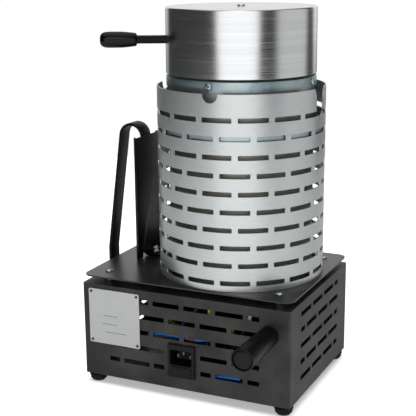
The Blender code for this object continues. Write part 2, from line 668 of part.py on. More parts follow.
# ---------------------------------------------------------------- lid on its pin
def lid():
    pin = polar(PIN_REACH, PIN_DEG)
    bore, outer = PIN_R + 0.2, PIN_R + SOCKET_WALL
    floor, rim_z = SOCKET_Z0 + 1.5, COLLAR_Z1 - SHEET - GAP
    socket = turned("pivot_socket", [(0, floor), (bore, floor), (bore, rim_z), (outer, rim_z),
                                     (outer, SOCKET_Z0), (0, SOCKET_Z0)], pin, 20)
    finish(socket, STEEL)

    axis = bpy.data.objects.new("lid_axis", None)
    axis.location = (pin[0] * MM, pin[1] * MM, LID_Z0 * MM)
    axis.parent = origin
    parts.objects.link(axis)
    pivot = (*pin, LID_Z0)

    finish(rod("lid_pivot_pin", (*pin, PIN_Z0), (*pin, PIN_Z1), PIN_R, 20), STEEL, pivot, axis)

    rim = LID_R - LID_WALL
    can = turned("lid_shell",
                 [(0, LID_Z1), (LID_R - 1.2, LID_Z1), (LID_R - 0.35, LID_Z1 - 0.35),
                  (LID_R, LID_Z1 - 1.2), (LID_R, LID_Z0), (70.0, LID_Z0), (70.0, LID_Z0 + 1.2),
                  (rim, LID_Z0 + 1.2), (rim, LID_Z1 - LID_WALL), (0, LID_Z1 - LID_WALL)],
                 FURNACE, 48)
    inner_end, outer_end = polar(60, LID_HANDLE_DEG), polar(90, LID_HANDLE_DEG)
    cut(can, rod("lid_rod_hole", (*inner_end, LID_ROD_Z), (*outer_end, LID_ROD_Z),
                 LID_ROD_R + 0.35, 20, cutters))
    cut(can, upright_hole("lid_screw_hole", FURNACE, LID_Z1 - 10, LID_Z1 + 5, 2.4))
    finish(can, ALUMINIUM, None, axis)

    fill = turned("lid_insulation",
                  [(0, LID_Z1 - LID_WALL - GAP), (rim - GAP, LID_Z1 - LID_WALL - GAP),
                   (rim - GAP, LID_Z0 + 1.5), (69.7, LID_Z0 + 1.5), (69.7, LID_Z0), (0, LID_Z0)],
                  FURNACE, 32)
    cut(fill, rod("fill_rod_hole", (*inner_end, LID_ROD_Z), (*outer_end, LID_ROD_Z),
                  LID_ROD_R + 0.6, 20, cutters))
    cut(fill, upright_hole("fill_screw_hole", FURNACE, LID_Z1 - 22, LID_Z1 + 5, 2.4))
    cut(fill, upright_hole("fill_pin_hole", pin, LID_Z0 - 5, PIN_Z1 + 2, PIN_R + 0.4, 20))
    finish(fill, FIBRE, None, axis)

    screw = turned("lid_screw", [(0, LID_Z1 + GAP + 2.4), (3.0, LID_Z1 + GAP + 2.0),
                                 (4.4, LID_Z1 + GAP + 0.6), (4.4, LID_Z1 + GAP),
                                 (2.0, LID_Z1 + GAP), (2.0, LID_Z1 - 20), (0, LID_Z1 - 20)],
                   FURNACE, 16)
    finish(screw, STEEL, None, axis)

    finish(rod("lid_rod", (*polar(63, LID_HANDLE_DEG), LID_ROD_Z),
               (*polar(134, LID_HANDLE_DEG), LID_ROD_Z), LID_ROD_R, 20), BLACK_METAL, None, axis)
    bore = LID_ROD_R + 0.35
    grip = turned("lid_grip",
                  [(0, 143.2), (4.0, 142.6), (6.6, 140.8), (7.9, 138.2), (8.2, 134.0),
                   (8.2, 120.0), (7.4, 112.0), (6.8, 107.0), (5.7, 105.7), (bore, 105.7),
                   (bore, 135.0), (0, 135.0)], (0, 0), 24)
    angle = math.radians(LID_HANDLE_DEG)
    lay = Matrix.Rotation(angle, 4, "Z") @ Matrix.Rotation(math.radians(90), 4, "Y")
    grip.location = (FURNACE[0] * MM, FURNACE[1] * MM, LID_ROD_Z * MM)
    grip.rotation_euler = lay.to_euler()
    finish(grip, GRIP, None, axis)


# ---------------------------------------------------------------- control face
def controls():
    x, z, half = CONTROL_X, CONTROL_Z, CONTROL_SIZE / 2
    front = BACK_Y + GAP + CONTROL_PROUD
    case = block("controller_case", (x - half, BACK_Y + GAP, z - half), (x + half, front, z + half),
                 2.0, axis=1)
    fuse_together(case, block("controller_body", (x - half + 1.7, BACK_Y - 62, z - half + 1.7),
                              (x + half - 1.7, front - 2, z + half - 1.7), collection=cutters))
    bm = bmesh.new()
    block_mesh(bm, (x - 20, front - 2.0, z - 5), (x + 20, front + 5, z + 19), 1.0, axis=1)
    for k in (-1, 0, 1):
        bx = x + 13 * k
        block_mesh(bm, (bx - 4.6, front - 3.4, z - 18.4), (bx + 4.6, front + 5, z - 11.6), 1.2, axis=1)
    cut(case, mesh_object("controller_pockets", bm, cutters))
    finish(case, PLASTIC)
    display = block("controller_display", (x - 19.7, front - 1.7, z - 4.7),
                    (x + 19.7, front - 0.5, z + 18.7), 0.8, axis=1)
    finish(display, DISPLAY)
    for k in (-1, 0, 1):
        bx = x + 13 * k
        button = block("controller_button_%d" % (k + 2), (bx - 4.2, front - 2.2, z - 18.0),
                       (bx + 4.2, front - 0.4, z - 12.0), 1.0, axis=1)
        finish(button, GRIP, (bx, front - 0.4, z - 15.0))

    x, z = SWITCH_X, SWITCH_Z
    front = BACK_Y + GAP + 2.0
    frame = block("switch_frame", (x - 11.5, BACK_Y + GAP, z - 15.5), (x + 11.5, front, z + 15.5),
                  1.5, axis=1)
    fuse_together(frame, block("switch_body", (x - 9.7, BACK_Y - 20, z - 13.7),
                               (x + 9.7, front - 1, z + 13.7), collection=cutters))
    cut(frame, block("switch_well", (x - 8.2, BACK_Y - 12, z - 12.7), (x + 8.2, front + 5, z + 12.7),
                     collection=cutters))
    finish(frame, PLASTIC)
    pivot_y = BACK_Y
    arc = [(-8 * math.sin(math.radians(a)), 12.0 * math.cos(math.radians(a)))
           for a in range(15, 166, 30)]
    outline = [(0.0, 12.0), *arc, (0.0, -12.0), (3.2, -12.0), (1.6, 0.0), (3.2, 12.0)]
    rocker = prism("power_rocker", outline, 0, -7.8, 7.8)
    rocker.location = (x * MM, pivot_y * MM, z * MM)
    rocker.rotation_euler = (math.radians(ROCKER_REST_DEG), 0, 0)
    finish(rocker, GRIP)


# ---------------------------------------------------------------- wiring
def smooth_route(points, steps=4):
    """Catmull-Rom points through a hand-set route."""
    points = [Vector(p) for p in points]
    ends = [points[0] * 2 - points[1], *points, points[-1] * 2 - points[-2]]
    route = []
    for a, b, c, d in zip(ends, ends[1:], ends[2:], ends[3:]):
        for k in range(steps):
            t = k / steps
            route.append(0.5 * (2 * b + (c - a) * t + (2 * a - 5 * b + 4 * c - d) * t * t
                                + (3 * b - a - 3 * c + d) * t ** 3))
    route.append(points[-1])
    return route


def wiring():
    block_at = (-52.0, -22.0)
    x, y = block_at
    finish(block("terminal_block", (x - 20, y - 9, CAB_Z0 + 2.0), (x + 20, y + 9, 30.0), 1.5), CREAM)
    rear = FACE_Y + INLET_DEPTH + 3 * GAP
    out = rear + 6
    fx, fy = FURNACE
    routes = {
        "wire_blue": (BLUE, [(INLET_X + 7, rear, 42), (INLET_X + 7, out, 42), (15, -58, 50),
                             (24, -67, 59), (26, -79, 62), (14, -84, 61.6), (-8, -84, 62.6),
                             (-30, -84, 62), (-45, -82, 56), (-53, -80, 45), (-60, -70, 36),
                             (-57, -52, 33.5), (-46, -36, 38), (-28, -22, 56), (-10, -12, 80),
                             (fx - 22, fy - 8, 100), (fx - 20, fy, 112)]),
        "wire_red": (RED, [(INLET_X - 7, rear, 42), (INLET_X - 7, out, 42), (-6, -50, 33),
                           (10, -44, 31), (30, -34, 36), (37, -20, 52), (fx + 10, fy - 6, 92),
                           (fx + 14, fy - 4, 112)]),
        "wire_earth": (GREEN, [(INLET_X, rear, 48), (INLET_X, out, 48), (-14, -47, 52),
                               (-34, -44, 60), (-60, -46, 72), (-84, -50, 86), (-96, -56, 96),
                               (-98, -57, 103)]),
    }
    for name, (mat, points) in routes.items():
        finish(wire(name, smooth_route(points, 3), 1.6), mat)


cabinet()
top_plate()
inlet()
base_grip()
strap_and_shield()
guard()
tower()
lid()
controls()
wiring()
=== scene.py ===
# %% [markdown]
# # A bench-top crucible furnace
# The furnace is a turned aluminium lid on a tower of punched sheet, standing on a
# powder-coated cabinet.  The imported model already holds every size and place.  This
# notebook puts the finish on it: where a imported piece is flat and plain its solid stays
# and gets a material, and where a real piece is round, pressed or moulded a smoother one
# is modelled over it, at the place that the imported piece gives.

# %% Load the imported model
import json
import math

import bmesh
import bpy
from mathutils import Matrix, Vector


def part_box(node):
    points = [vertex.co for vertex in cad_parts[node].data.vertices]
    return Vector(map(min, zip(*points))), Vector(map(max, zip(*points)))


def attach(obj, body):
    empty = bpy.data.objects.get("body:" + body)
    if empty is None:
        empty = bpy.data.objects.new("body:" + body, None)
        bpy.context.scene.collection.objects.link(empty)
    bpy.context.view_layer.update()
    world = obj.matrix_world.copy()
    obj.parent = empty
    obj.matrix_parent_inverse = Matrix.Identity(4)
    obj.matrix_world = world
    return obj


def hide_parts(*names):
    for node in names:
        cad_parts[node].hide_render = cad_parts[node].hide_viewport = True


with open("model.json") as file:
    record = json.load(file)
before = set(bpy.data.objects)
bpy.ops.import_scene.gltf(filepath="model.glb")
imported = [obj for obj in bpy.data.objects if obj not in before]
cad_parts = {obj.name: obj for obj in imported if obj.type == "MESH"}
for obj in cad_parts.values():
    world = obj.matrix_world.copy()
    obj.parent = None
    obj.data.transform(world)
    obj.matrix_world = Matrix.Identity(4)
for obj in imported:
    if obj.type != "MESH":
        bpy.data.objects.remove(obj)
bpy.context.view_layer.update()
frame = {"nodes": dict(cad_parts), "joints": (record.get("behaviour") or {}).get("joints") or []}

# %% [markdown]
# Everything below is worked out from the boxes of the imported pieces.  A few lines read
# them: a piece's low and high corner, its middle, and half of its width.

# %% Places
MM = 0.001


def low(node):
    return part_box(node)[0]


def high(node):
    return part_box(node)[1]


def middle(node):
    return (low(node) + high(node)) / 2


def radius(node):
    """Half the width of an upright round piece."""
    return (high(node).x - low(node).x) / 2


def round_size(node):
    """The radius, bottom and top of an upright round piece."""
    return radius(node), low(node).z, high(node).z


axis = middle("lid_shell")            # the tower's upright axis
TOWER = (axis.x, axis.y)
deck = high("top_plate").z            # what the tower stands on
print("tower axis at", round(axis.x, 4), round(axis.y, 4), "deck at", round(deck, 4))

# %% [markdown]
# ## Colour and nodes
# Colours are written as the hex values that a paint chart or a screen gives, and one
# function turns them to the linear values that a shader works in.  Another small
# function adds a node, sets its inputs and links it, so that each material reads as a
# list of what it is made of.

# %% Colour and node helpers
def colour(text):
    """An sRGB hex colour as linear red, green, blue and alpha."""
    values = [int(text[i:i + 2], 16) / 255 for i in (0, 2, 4)]
    return (*[v / 12.92 if v <= 0.04045 else ((v + 0.055) / 1.055) ** 2.4 for v in values], 1.0)


def add(tree, kind, links=None, inputs=None, **settings):
    """Adds a node, with its settings, its input values and what each input is linked to."""
    made = tree.nodes.new(kind)
    for name, value in settings.items():
        setattr(made, name, value)
    for name, value in (inputs or {}).items():
        made.inputs[name].default_value = value
    for name, socket in (links or {}).items():
        tree.links.new(socket, made.inputs[name])
    return made


def ramp(tree, factor, stops):
    """A colour ramp from (position, hex colour) stops."""
    made = add(tree, "ShaderNodeValToRGB", links={"Fac": factor})
    while len(made.color_ramp.elements) < len(stops):
        made.color_ramp.elements.new(0.5)
    for element, (position, text) in zip(made.color_ramp.elements, stops):
        element.position = position
        element.color = colour(text)
    return made.outputs["Color"]


def per_mm(size):
    """The scale of a texture whose grain is this many millimetres across."""
    return 1 / (size * MM)


def new_material(name, **shader_inputs):
    """An empty material with one Principled shader.  Its plain values are set here."""
    mat = bpy.data.materials.new(name)
    mat.use_nodes = True
    tree = mat.node_tree
    shader = tree.nodes["Principled BSDF"]
    for key, value in shader_inputs.items():
        shader.inputs[key.replace("_", " ").title().replace("Ior", "IOR")].default_value = value
    place = add(tree, "ShaderNodeTexCoord").outputs["Object"]
    return mat, tree, shader, place


def grain(tree, place, size, detail=3.0, roughness=0.5, stretch=(1, 1, 1)):
    """Noise with a grain of a real size in millimetres, drawn out by a stretch."""
    shape = tuple(1 / s for s in stretch)
    spot = add(tree, "ShaderNodeMapping", links={"Vector": place}, inputs={"Scale": shape})
    noise = {"Scale": per_mm(size), "Detail": detail, "Roughness": roughness}
    return add(tree, "ShaderNodeTexNoise", links={"Vector": spot.outputs["Vector"]},
               inputs=noise).outputs["Fac"]


def span(tree, factor, from_low, from_high, to_low, to_high):
    """Maps a factor from one range to another, held at its ends."""
    return add(tree, "ShaderNodeMapRange", links={"Value": factor},
               inputs={"From Min": from_low, "From Max": from_high, "To Min": to_low,
                       "To Max": to_high}).outputs["Result"]


def tint(tree, shader, factor, *stops):
    """Colours the surface by a factor, through a ramp."""
    tree.links.new(ramp(tree, factor, stops), shader.inputs["Base Color"])


def roughen(tree, shader, factor, smooth, rough):
    """Moves the roughness between two values as a factor goes through its middle range."""
    tree.links.new(span(tree, factor, 0.3, 0.7, smooth, rough), shader.inputs["Roughness"])


def relief(tree, shader, height, depth):
    """Bump whose full height is a depth in millimetres."""
    bump = add(tree, "ShaderNodeBump", links={"Height": height},
               inputs={"Distance": depth * MM, "Strength": 1.0})
    tree.links.new(bump.outputs["Normal"], shader.inputs["Normal"])


# %% [markdown]
# ## The stage
# The floor is plain and white, and the light is what a product table has: a broad soft
# box in front with a small one above it, a weaker one to the right, three behind, and
# one overhead.  The boxes are painted into the sky as soft-edged patches, because bright
# metal shows what stands round it: the white band down the lid is the front box, and
# the dark bands beside it are the gaps.
#
# The floor glows a little too, and both its pool of light and its shadow are painted
# into that glow.  The metal sees a painted pool of light on it, brightest in front.  The
# camera sees it evenly white, but with a painted shadow, darker along the foot of the
# cabinet, where hardly any light would get in.

# %% Floor, sky and camera
FRONT = 18                             # where the front boxes stand, degrees from -Y to +X
# azimuth, elevation, half width and soft edge in degrees, then strength
BOXES = [(FRONT, 4, 30, 7, 1.4), (FRONT, 32, 9, 6, 1.2), (108, 2, 28, 9, 0.65),
         (172, 6, 10, 9, 0.95), (205, 20, 20, 10, 0.9), (230, 4, 8, 8, 0.6),
         (0, 90, 30, 20, 1.2)]


def direction(azimuth, elevation):
    a, e = math.radians(azimuth), math.radians(elevation)
    return math.sin(a) * math.cos(e), -math.cos(a) * math.cos(e), math.sin(e)


def studio_sky():
    world = bpy.data.worlds.new("studio")
    bpy.context.scene.world = world
    world.use_nodes = True
    tree = world.node_tree
    tree.nodes.clear()
    way = add(tree, "ShaderNodeTexCoord").outputs["Generated"]
    total = None
    for azimuth, elevation, half, soft, strength in BOXES:
        facing = add(tree, "ShaderNodeVectorMath", links={0: way}, operation="DOT_PRODUCT",
                     inputs={1: direction(azimuth, elevation)}).outputs["Value"]
        patch = add(tree, "ShaderNodeMapRange", links={"Value": facing},
                    interpolation_type="SMOOTHSTEP",
                    inputs={"From Min": math.cos(math.radians(half + soft)),
                            "From Max": math.cos(math.radians(half - soft / 2)),
                            "To Min": 0.0, "To Max": strength}).outputs["Result"]
        if total is not None:
            patch = add(tree, "ShaderNodeMath", links={0: total, 1: patch}).outputs["Value"]
        total = patch
    fill = add(tree, "ShaderNodeMath", links={0: total}, inputs={1: 0.05}).outputs["Value"]
    white = colour("ffffff")
    lit = add(tree, "ShaderNodeBackground", links={"Strength": fill}, inputs={"Color": white})
    plain = add(tree, "ShaderNodeBackground", inputs={"Color": white, "Strength": 1.0})
    seen = add(tree, "ShaderNodeLightPath").outputs["Is Camera Ray"]
    both = add(tree, "ShaderNodeMixShader",
               links={0: seen, 1: lit.outputs[0], 2: plain.outputs[0]})
    add(tree, "ShaderNodeOutputWorld", links={"Surface": both.outputs[0]})


def floor():
    bpy.ops.mesh.primitive_circle_add(vertices=64, radius=1.25, fill_type="NGON")
    made = bpy.context.object
    made.name = "floor"
    mat, tree, shader, place = new_material("white_table", roughness=0.7)
    shader.inputs["Base Color"].default_value = colour("e8e8e8")
    shader.inputs["Emission Color"].default_value = colour("ffffff")
    forward = add(tree, "ShaderNodeVectorMath", links={0: place}, operation="DOT_PRODUCT",
                  inputs={1: direction(FRONT, 0)}).outputs["Value"]
    # painted pool of light: as the metal sees it, the floor's glow is brighter towards the front
    # boxes
    painted_light_pool = span(tree, forward, -0.1, 0.7, 0.12, 0.95)
    spot = middle("cabinet_shell")
    half = high("cabinet_shell") - spot
    beyond = place                     # how far outside the cabinet's outline, on X and Y
    for operation, value in (("SUBTRACT", (spot.x, spot.y, 0)), ("ABSOLUTE", (0, 0, 0)),
                             ("SUBTRACT", (half.x, half.y, 0))):
        beyond = add(tree, "ShaderNodeVectorMath", links={0: beyond}, inputs={1: value},
                     operation=operation).outputs["Vector"]
    sides = add(tree, "ShaderNodeSeparateXYZ", links={"Vector": beyond}).outputs
    distance = add(tree, "ShaderNodeMath", links={0: sides["X"], 1: sides["Y"]},
                   operation="MAXIMUM").outputs["Value"]
    # painted shadow: as the camera sees it, the floor's glow is dimmer within 5 mm of the
    # cabinet's outline
    camera_glow_painted_shadow = span(tree, distance, -5 * MM, 5 * MM, 0.35, 0.85)
    seen = add(tree, "ShaderNodeLightPath").outputs["Is Camera Ray"]
    glow = add(tree, "ShaderNodeMix", links={"Factor": seen, "A": painted_light_pool, "B": camera_glow_painted_shadow})
    tree.links.new(glow.outputs["Result"], shader.inputs["Emission Strength"])
    made.data.materials.append(mat)


def camera():
    """At the height and angle of someone looking down at the bench from the inlet side."""
    foot = Vector((middle("cabinet_shell").x, middle("cabinet_shell").y, low("cabinet_shell").z))
    stand = foot + Vector((0.4351, -0.9568, 0.4359))
    ahead = -Vector(direction(25.03, 14.07))
    data = bpy.data.cameras.new("camera")
    data.lens, data.sensor_width = 88.0, 36.0
    made = bpy.data.objects.new("camera", data)
    bpy.context.scene.collection.objects.link(made)
    roll = Matrix.Rotation(math.radians(-0.5), 3, "Z")
    turn = ahead.to_track_quat("-Z", "Y").to_matrix() @ roll
    made.matrix_world = Matrix.Translation(stand) @ turn.to_4x4()
    bpy.context.scene.camera = made


studio_sky()
floor()
camera()
bpy.context.scene.view_settings.view_transform = "Standard"
print("stage, sky and camera made")

# %% [markdown]
# ## Finishes
# Each finish starts from what it is.  The cabinet is powder-coated steel: a plastic
# paint melted on, satin, with a fine pebbled skin and pale specks.  Real pebbles are
# about half a millimetre across, and these are drawn at 1.3 mm so that they still show.

# %% Powder coat
def powder_coat(name, dark, pale, roughness):
    mat, tree, shader, place = new_material(name, metallic=0.0, ior=1.5)
    pebble = grain(tree, place, 1.3, 4.0, 0.7)
    cloud = grain(tree, place, 38.0, 2.0)
    mixed = add(tree, "ShaderNodeMath", links={0: pebble, 1: cloud},
                operation="MULTIPLY").outputs["Value"]
    tint(tree, shader, span(tree, mixed, 0.17, 0.34, 0.0, 1.0), (0.0, dark), (1.0, pale))
    roughen(tree, shader, pebble, roughness - 0.07, roughness + 0.08)
    relief(tree, shader, pebble, 0.06)
    return mat


cabinet_paint = powder_coat("charcoal_powder_coat", "080807", "343433", 0.5)
plate_paint = powder_coat("satin_powder_coat", "161616", "282828", 0.3)

# %% [markdown]
# The handle strap and the heat shield are bent flat steel with a stoved black enamel:
# smoother than the powder coat, with the slight waviness that painters call orange peel.

# %% Black enamel
def black_enamel():
    mat, tree, shader, place = new_material("stoved_black_enamel", specular_ior_level=0.15)
    peel = grain(tree, place, 1.8, 2.0)
    scuff = grain(tree, place, 14.0, 5.0, 0.7)
    tint(tree, shader, scuff, (0.35, "040405"), (0.75, "090909"))
    roughen(tree, shader, scuff, 0.34, 0.48)
    relief(tree, shader, peel, 0.03)
    return mat


enamel = black_enamel()

# %% [markdown]
# The guard is steel sheet with a satin metallic finish, punched flat and then rolled.
# It is nearly white where it faces the light.  Its faint mill grain runs along the
# sheet, so it is drawn out level, round the tower.

# %% Punched steel
def punched_steel():
    mat, tree, shader, place = new_material("satin_rolled_steel", metallic=0.85)
    stroke = grain(tree, place, 0.7, 2.0, 0.5, stretch=(9, 9, 1))
    tint(tree, shader, stroke, (0.3, "bcc0c1"), (0.7, "c7cac9"))
    roughen(tree, shader, stroke, 0.33, 0.39)
    relief(tree, shader, stroke, 0.003)
    return mat


guard_steel = punched_steel()

# %% [markdown]
# Zinc plating with a blue passivation is a thin bright metal coat.  It is slightly
# blue, with pale and straw-coloured clouds where the bath wetted it unevenly.

# %% Zinc plate
def zinc_plate(name, roughness):
    mat, tree, shader, place = new_material(name, metallic=1.0)
    cloud = grain(tree, place, 22.0, 4.0, 0.6)
    tint(tree, shader, cloud, (0.3, "869ba2"), (0.5, "a2b4b9"), (0.72, "b4bcb6"))
    fine = grain(tree, place, 1.2, 3.0, 0.6)
    roughen(tree, shader, fine, roughness - 0.05, roughness + 0.07)
    relief(tree, shader, fine, 0.01)
    return mat


zinc = zinc_plate("blue_zinc_plate", 0.4)
bolt_zinc = zinc_plate("bright_zinc_bolt", 0.24)

# %% [markdown]
# The lid is turned on a lathe: the tool leaves circles, on its side as well as on its
# top.  Two numbers describe where a point is for the lathe, its distance from the axis
# and its height, so noise read at those two draws both sets of circles at once.  A
# trace of the plain place is added, or the lines would be perfectly even all the way
# round.

# %% Turned metal
def turned_metal(name, dark, pale, roughness, line, depth, metallic=1.0):
    """Metal with tool marks round the tower's axis, a line's width in millimetres."""
    mat, tree, shader, place = new_material(name, metallic=metallic)
    centred = add(tree, "ShaderNodeVectorMath", links={0: place}, inputs={1: (axis.x, axis.y, 0)},
                  operation="SUBTRACT").outputs["Vector"]
    parts = add(tree, "ShaderNodeSeparateXYZ", links={"Vector": centred})
    flat = add(tree, "ShaderNodeCombineXYZ",
               links={"X": parts.outputs["X"], "Y": parts.outputs["Y"]}).outputs["Vector"]
    reach = add(tree, "ShaderNodeVectorMath", links={0: flat}, operation="LENGTH")
    lathe = add(tree, "ShaderNodeCombineXYZ",
                links={"X": reach.outputs["Value"], "Z": parts.outputs["Z"]}).outputs["Vector"]
    drift = add(tree, "ShaderNodeVectorMath", links={0: flat}, inputs={"Scale": 0.004},
                operation="SCALE").outputs["Vector"]
    spot = add(tree, "ShaderNodeVectorMath", links={0: lathe, 1: drift}).outputs["Vector"]
    marks = add(tree, "ShaderNodeTexNoise", links={"Vector": spot},
                inputs={"Scale": per_mm(line), "Detail": 4.0, "Roughness": 0.7}).outputs["Fac"]
    broad = add(tree, "ShaderNodeTexNoise", links={"Vector": spot},
                inputs={"Scale": per_mm(line * 9), "Detail": 2.0}).outputs["Fac"]
    tint(tree, shader, broad, (0.3, dark), (0.7, pale))
    roughen(tree, shader, marks, roughness - 0.06, roughness + 0.08)
    relief(tree, shader, marks, depth)
    return mat


turned_aluminium = turned_metal("turned_aluminium", "cbcdce", "d8d9da", 0.2, 0.5, 0.004)
bright_steel = turned_metal("rolled_stainless", "b4b7ba", "c8cacc", 0.22, 1.5, 0.006)
satin_steel = turned_metal("satin_stainless", "9d9a94", "b5b2ab", 0.42, 1.5, 0.006, 0.8)

# %% [markdown]
# Mouldings: the lid's grip is phenolic, glossy and nearly black.  The inlet, controller
# and switch are moulded with a fine spark texture.  The grip on the base is a matte
# plastic tube, and the feet are rubber with a chalky skin.

# %% Mouldings and rubber
def moulding(name, dark, pale, roughness, pebble_size, depth, coat=0.0, shine=0.5):
    mat, tree, shader, place = new_material(name, specular_ior_level=shine, coat_weight=coat,
                                            coat_roughness=0.12)
    pebble = grain(tree, place, pebble_size, 3.0, 0.6)
    cloud = grain(tree, place, 16.0, 3.0)
    tint(tree, shader, cloud, (0.3, dark), (0.7, pale))
    roughen(tree, shader, pebble, roughness - 0.05, roughness + 0.08)
    relief(tree, shader, pebble, depth)
    return mat


phenolic = moulding("black_phenolic", "010101", "030304", 0.16, 2.5, 0.004, shine=0.2)
spark_plastic = moulding("spark_textured_abs", "040404", "090909", 0.42, 0.9, 0.03, shine=0.25)
tube_plastic = moulding("matte_nylon_tube", "030303", "080808", 0.34, 1.4, 0.012, shine=0.22)
foot_rubber = moulding("foot_rubber", "060606", "0d0d0d", 0.55, 1.0, 0.04, shine=0.25)
button_rubber = moulding("silicone_button", "2a2d30", "34373a", 0.5, 0.8, 0.02)
cream_plastic = moulding("terminal_melamine", "cfc6ac", "e0d8c2", 0.5, 1.2, 0.02)


# %% [markdown]
# Inside the tower everything is a refractory: fired clay round the heating wire, a soft
# felt of ceramic fibre behind it, and a pressed graphite crucible with a dark silky
# sheen.

# %% Refractories
def refractory(name, dark, pale, roughness, size, depth, stretch=(1, 1, 1), metallic=0.0):
    mat, tree, shader, place = new_material(name, metallic=metallic)
    body = grain(tree, place, size, 5.0, 0.7, stretch)
    stain = grain(tree, place, 12.0, 3.0, 0.6)
    both = add(tree, "ShaderNodeMath", links={0: body, 1: stain},
               operation="MULTIPLY").outputs["Value"]
    tint(tree, shader, span(tree, both, 0.12, 0.4, 0.0, 1.0), (0.0, dark), (1.0, pale))
    roughen(tree, shader, body, roughness - 0.06, roughness + 0.05)
    relief(tree, shader, body, depth)
    return mat


fired_clay = refractory("fired_clay", "b9a88c", "e2d8c4", 0.88, 1.6, 0.12)
fibre_felt = refractory("ceramic_fibre_felt", "cfcabd", "f0ece2", 0.93, 1.2, 0.2,
                        stretch=(4, 4, 1))
graphite = refractory("pressed_graphite", "1d1e20", "34353a", 0.5, 1.4, 0.04, metallic=0.35)


# %% [markdown]
# The rating plate is anodised aluminium, rolled one way, so its grain runs along X.
# The wires are coloured PVC, the display a smoked red window, and the fuse a glass tube.

# %% Plate, wires and windows
def anodised_plate():
    mat, tree, shader, place = new_material("anodised_aluminium", metallic=0.55)
    stroke = grain(tree, place, 0.7, 3.0, 0.6, stretch=(20, 1, 1))
    tint(tree, shader, stroke, (0.3, "bdbfbf"), (0.7, "cacccb"))
    roughen(tree, shader, stroke, 0.42, 0.55)
    relief(tree, shader, stroke, 0.008)
    return mat


plate_metal = anodised_plate()
blue_pvc = moulding("blue_pvc", "0f66ba", "1a76ce", 0.35, 2.0, 0.01)
red_pvc = moulding("red_pvc", "6f0808", "860f0f", 0.35, 2.0, 0.01)
green_pvc = moulding("green_pvc", "4f8f16", "6aa52a", 0.35, 2.0, 0.01)
yellow_pvc = moulding("yellow_pvc", "c9a80f", "dcbc22", 0.35, 2.0, 0.01)
# the inlet's pins are tinned brass, but drawn as a dark grey moulding: painted shade for the deep
# socket they stand in
pin_grey_painted_shade = moulding("tinned_brass_painted_shade", "3a3b3c", "515253", 0.35, 2.0, 0.01, shine=0.6)
smoked_red = moulding("smoked_red_window", "1b0305", "260508", 0.08, 3.0, 0.002, coat=0.5)
ink = moulding("printed_ink", "26272a", "303134", 0.5, 1.0, 0.005)
pale_ink = moulding("white_marking", "d8d8d4", "e6e6e2", 0.5, 1.0, 0.005)


def lit_segment():
    mat, tree, shader, place = new_material("lit_segment", roughness=0.4, emission_strength=1.6)
    glow = grain(tree, place, 3.0, 2.0)
    tone = ramp(tree, glow, [(0.3, "e8241a"), (0.7, "ff4a30")])
    tree.links.new(tone, shader.inputs["Base Color"])
    tree.links.new(tone, shader.inputs["Emission Color"])
    return mat


def fuse_glass():
    mat, tree, shader, place = new_material("fuse_glass", roughness=0.05, ior=1.5,
                                            transmission_weight=0.85)
    haze = grain(tree, place, 6.0, 2.0)
    tint(tree, shader, haze, (0.3, "dfe8e6"), (0.7, "f2f7f6"))
    return mat


segment_red = lit_segment()
clear_glass = fuse_glass()
print(len(bpy.data.materials), "materials ready")

# %% [markdown]
# ## How the pieces are modelled
# Most pieces are made as on a lathe or a bending brake.  A turned piece starts as one
# circle, which is extruded and resized ring after ring along its outline.  A blocky one
# starts as a cube of the right size and has its edges bevelled.  Every piece ends the
# same way: its place goes into its mesh, its modifiers are applied, it is shaded, and
# it is told which body of the furnace it rides on.

# %% Modelling helpers
def start(name):
    """Names the primitive that was just added and opens it, all of it selected."""
    piece = bpy.context.object
    piece.name = piece.data.name = name
    mode("EDIT")
    bpy.ops.mesh.select_all(action="SELECT")
    return piece


def unselect():
    bpy.ops.object.select_all(action="DESELECT")


def mode(name):
    bpy.ops.object.mode_set(mode=name)


def apply_place():
    bpy.ops.object.transform_apply(location=True, rotation=True, scale=True)


def face_outward():
    """In edit mode, selects everything and turns its faces outward."""
    bpy.ops.mesh.select_all(action="SELECT")
    bpy.ops.mesh.normals_make_consistent(inside=False)


def pick(piece, kind, test):
    """In edit mode, selects the vertices, edges or faces that pass a test."""
    bpy.ops.mesh.select_mode(type=kind)
    bpy.ops.mesh.select_all(action="DESELECT")
    cage = bmesh.from_edit_mesh(piece.data)
    items = {"VERT": cage.verts, "EDGE": cage.edges, "FACE": cage.faces}[kind]
    for item in items:
        item.select_set(bool(test(item)))
    bmesh.update_edit_mesh(piece.data)


def settle(piece):
    """Closes edit mode, puts the place into the mesh and applies the modifiers."""
    if bpy.context.mode != "OBJECT":
        mode("OBJECT")
    unselect()
    bpy.context.view_layer.objects.active = piece
    piece.select_set(True)
    apply_place()
    for modifier in list(piece.modifiers):
        bpy.ops.object.modifier_apply(modifier=modifier.name)
    return piece


def finish(piece, mat, body, replaced=(), angle=35.0):
    settle(piece)
    piece.data.materials.clear()
    piece.data.materials.append(mat)
    bpy.ops.object.shade_smooth_by_angle(angle=math.radians(angle))
    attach(piece, body)
    if replaced:
        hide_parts(*replaced)
    return piece


def turned(name, outline, spot=(0.0, 0.0), sides=96, ring=False):
    """Extrudes and resizes a circle along an outline of (radius, height) points."""
    unselect()
    r, z = outline[0]
    bpy.ops.mesh.primitive_circle_add(vertices=sides, radius=r, location=(*spot, z),
                                      fill_type="NOTHING" if ring else "NGON")
    piece = start(name)
    for new_r, new_z in outline[1:]:
        step = {"value": (0, 0, new_z - z)}
        if ring:
            bpy.ops.mesh.extrude_edges_move(TRANSFORM_OT_translate=step)
        else:
            bpy.ops.mesh.extrude_region_move(TRANSFORM_OT_translate=step)
        if abs(new_r - r) > 1e-7:
            grow = new_r / r
            bpy.ops.transform.resize(value=(grow, grow, 1), center_override=(*spot, new_z))
        r, z = new_r, new_z
    if ring:
        pick(piece, "EDGE", lambda edge: edge.is_boundary)
        bpy.ops.mesh.bridge_edge_loops()
    face_outward()
    return settle(piece)


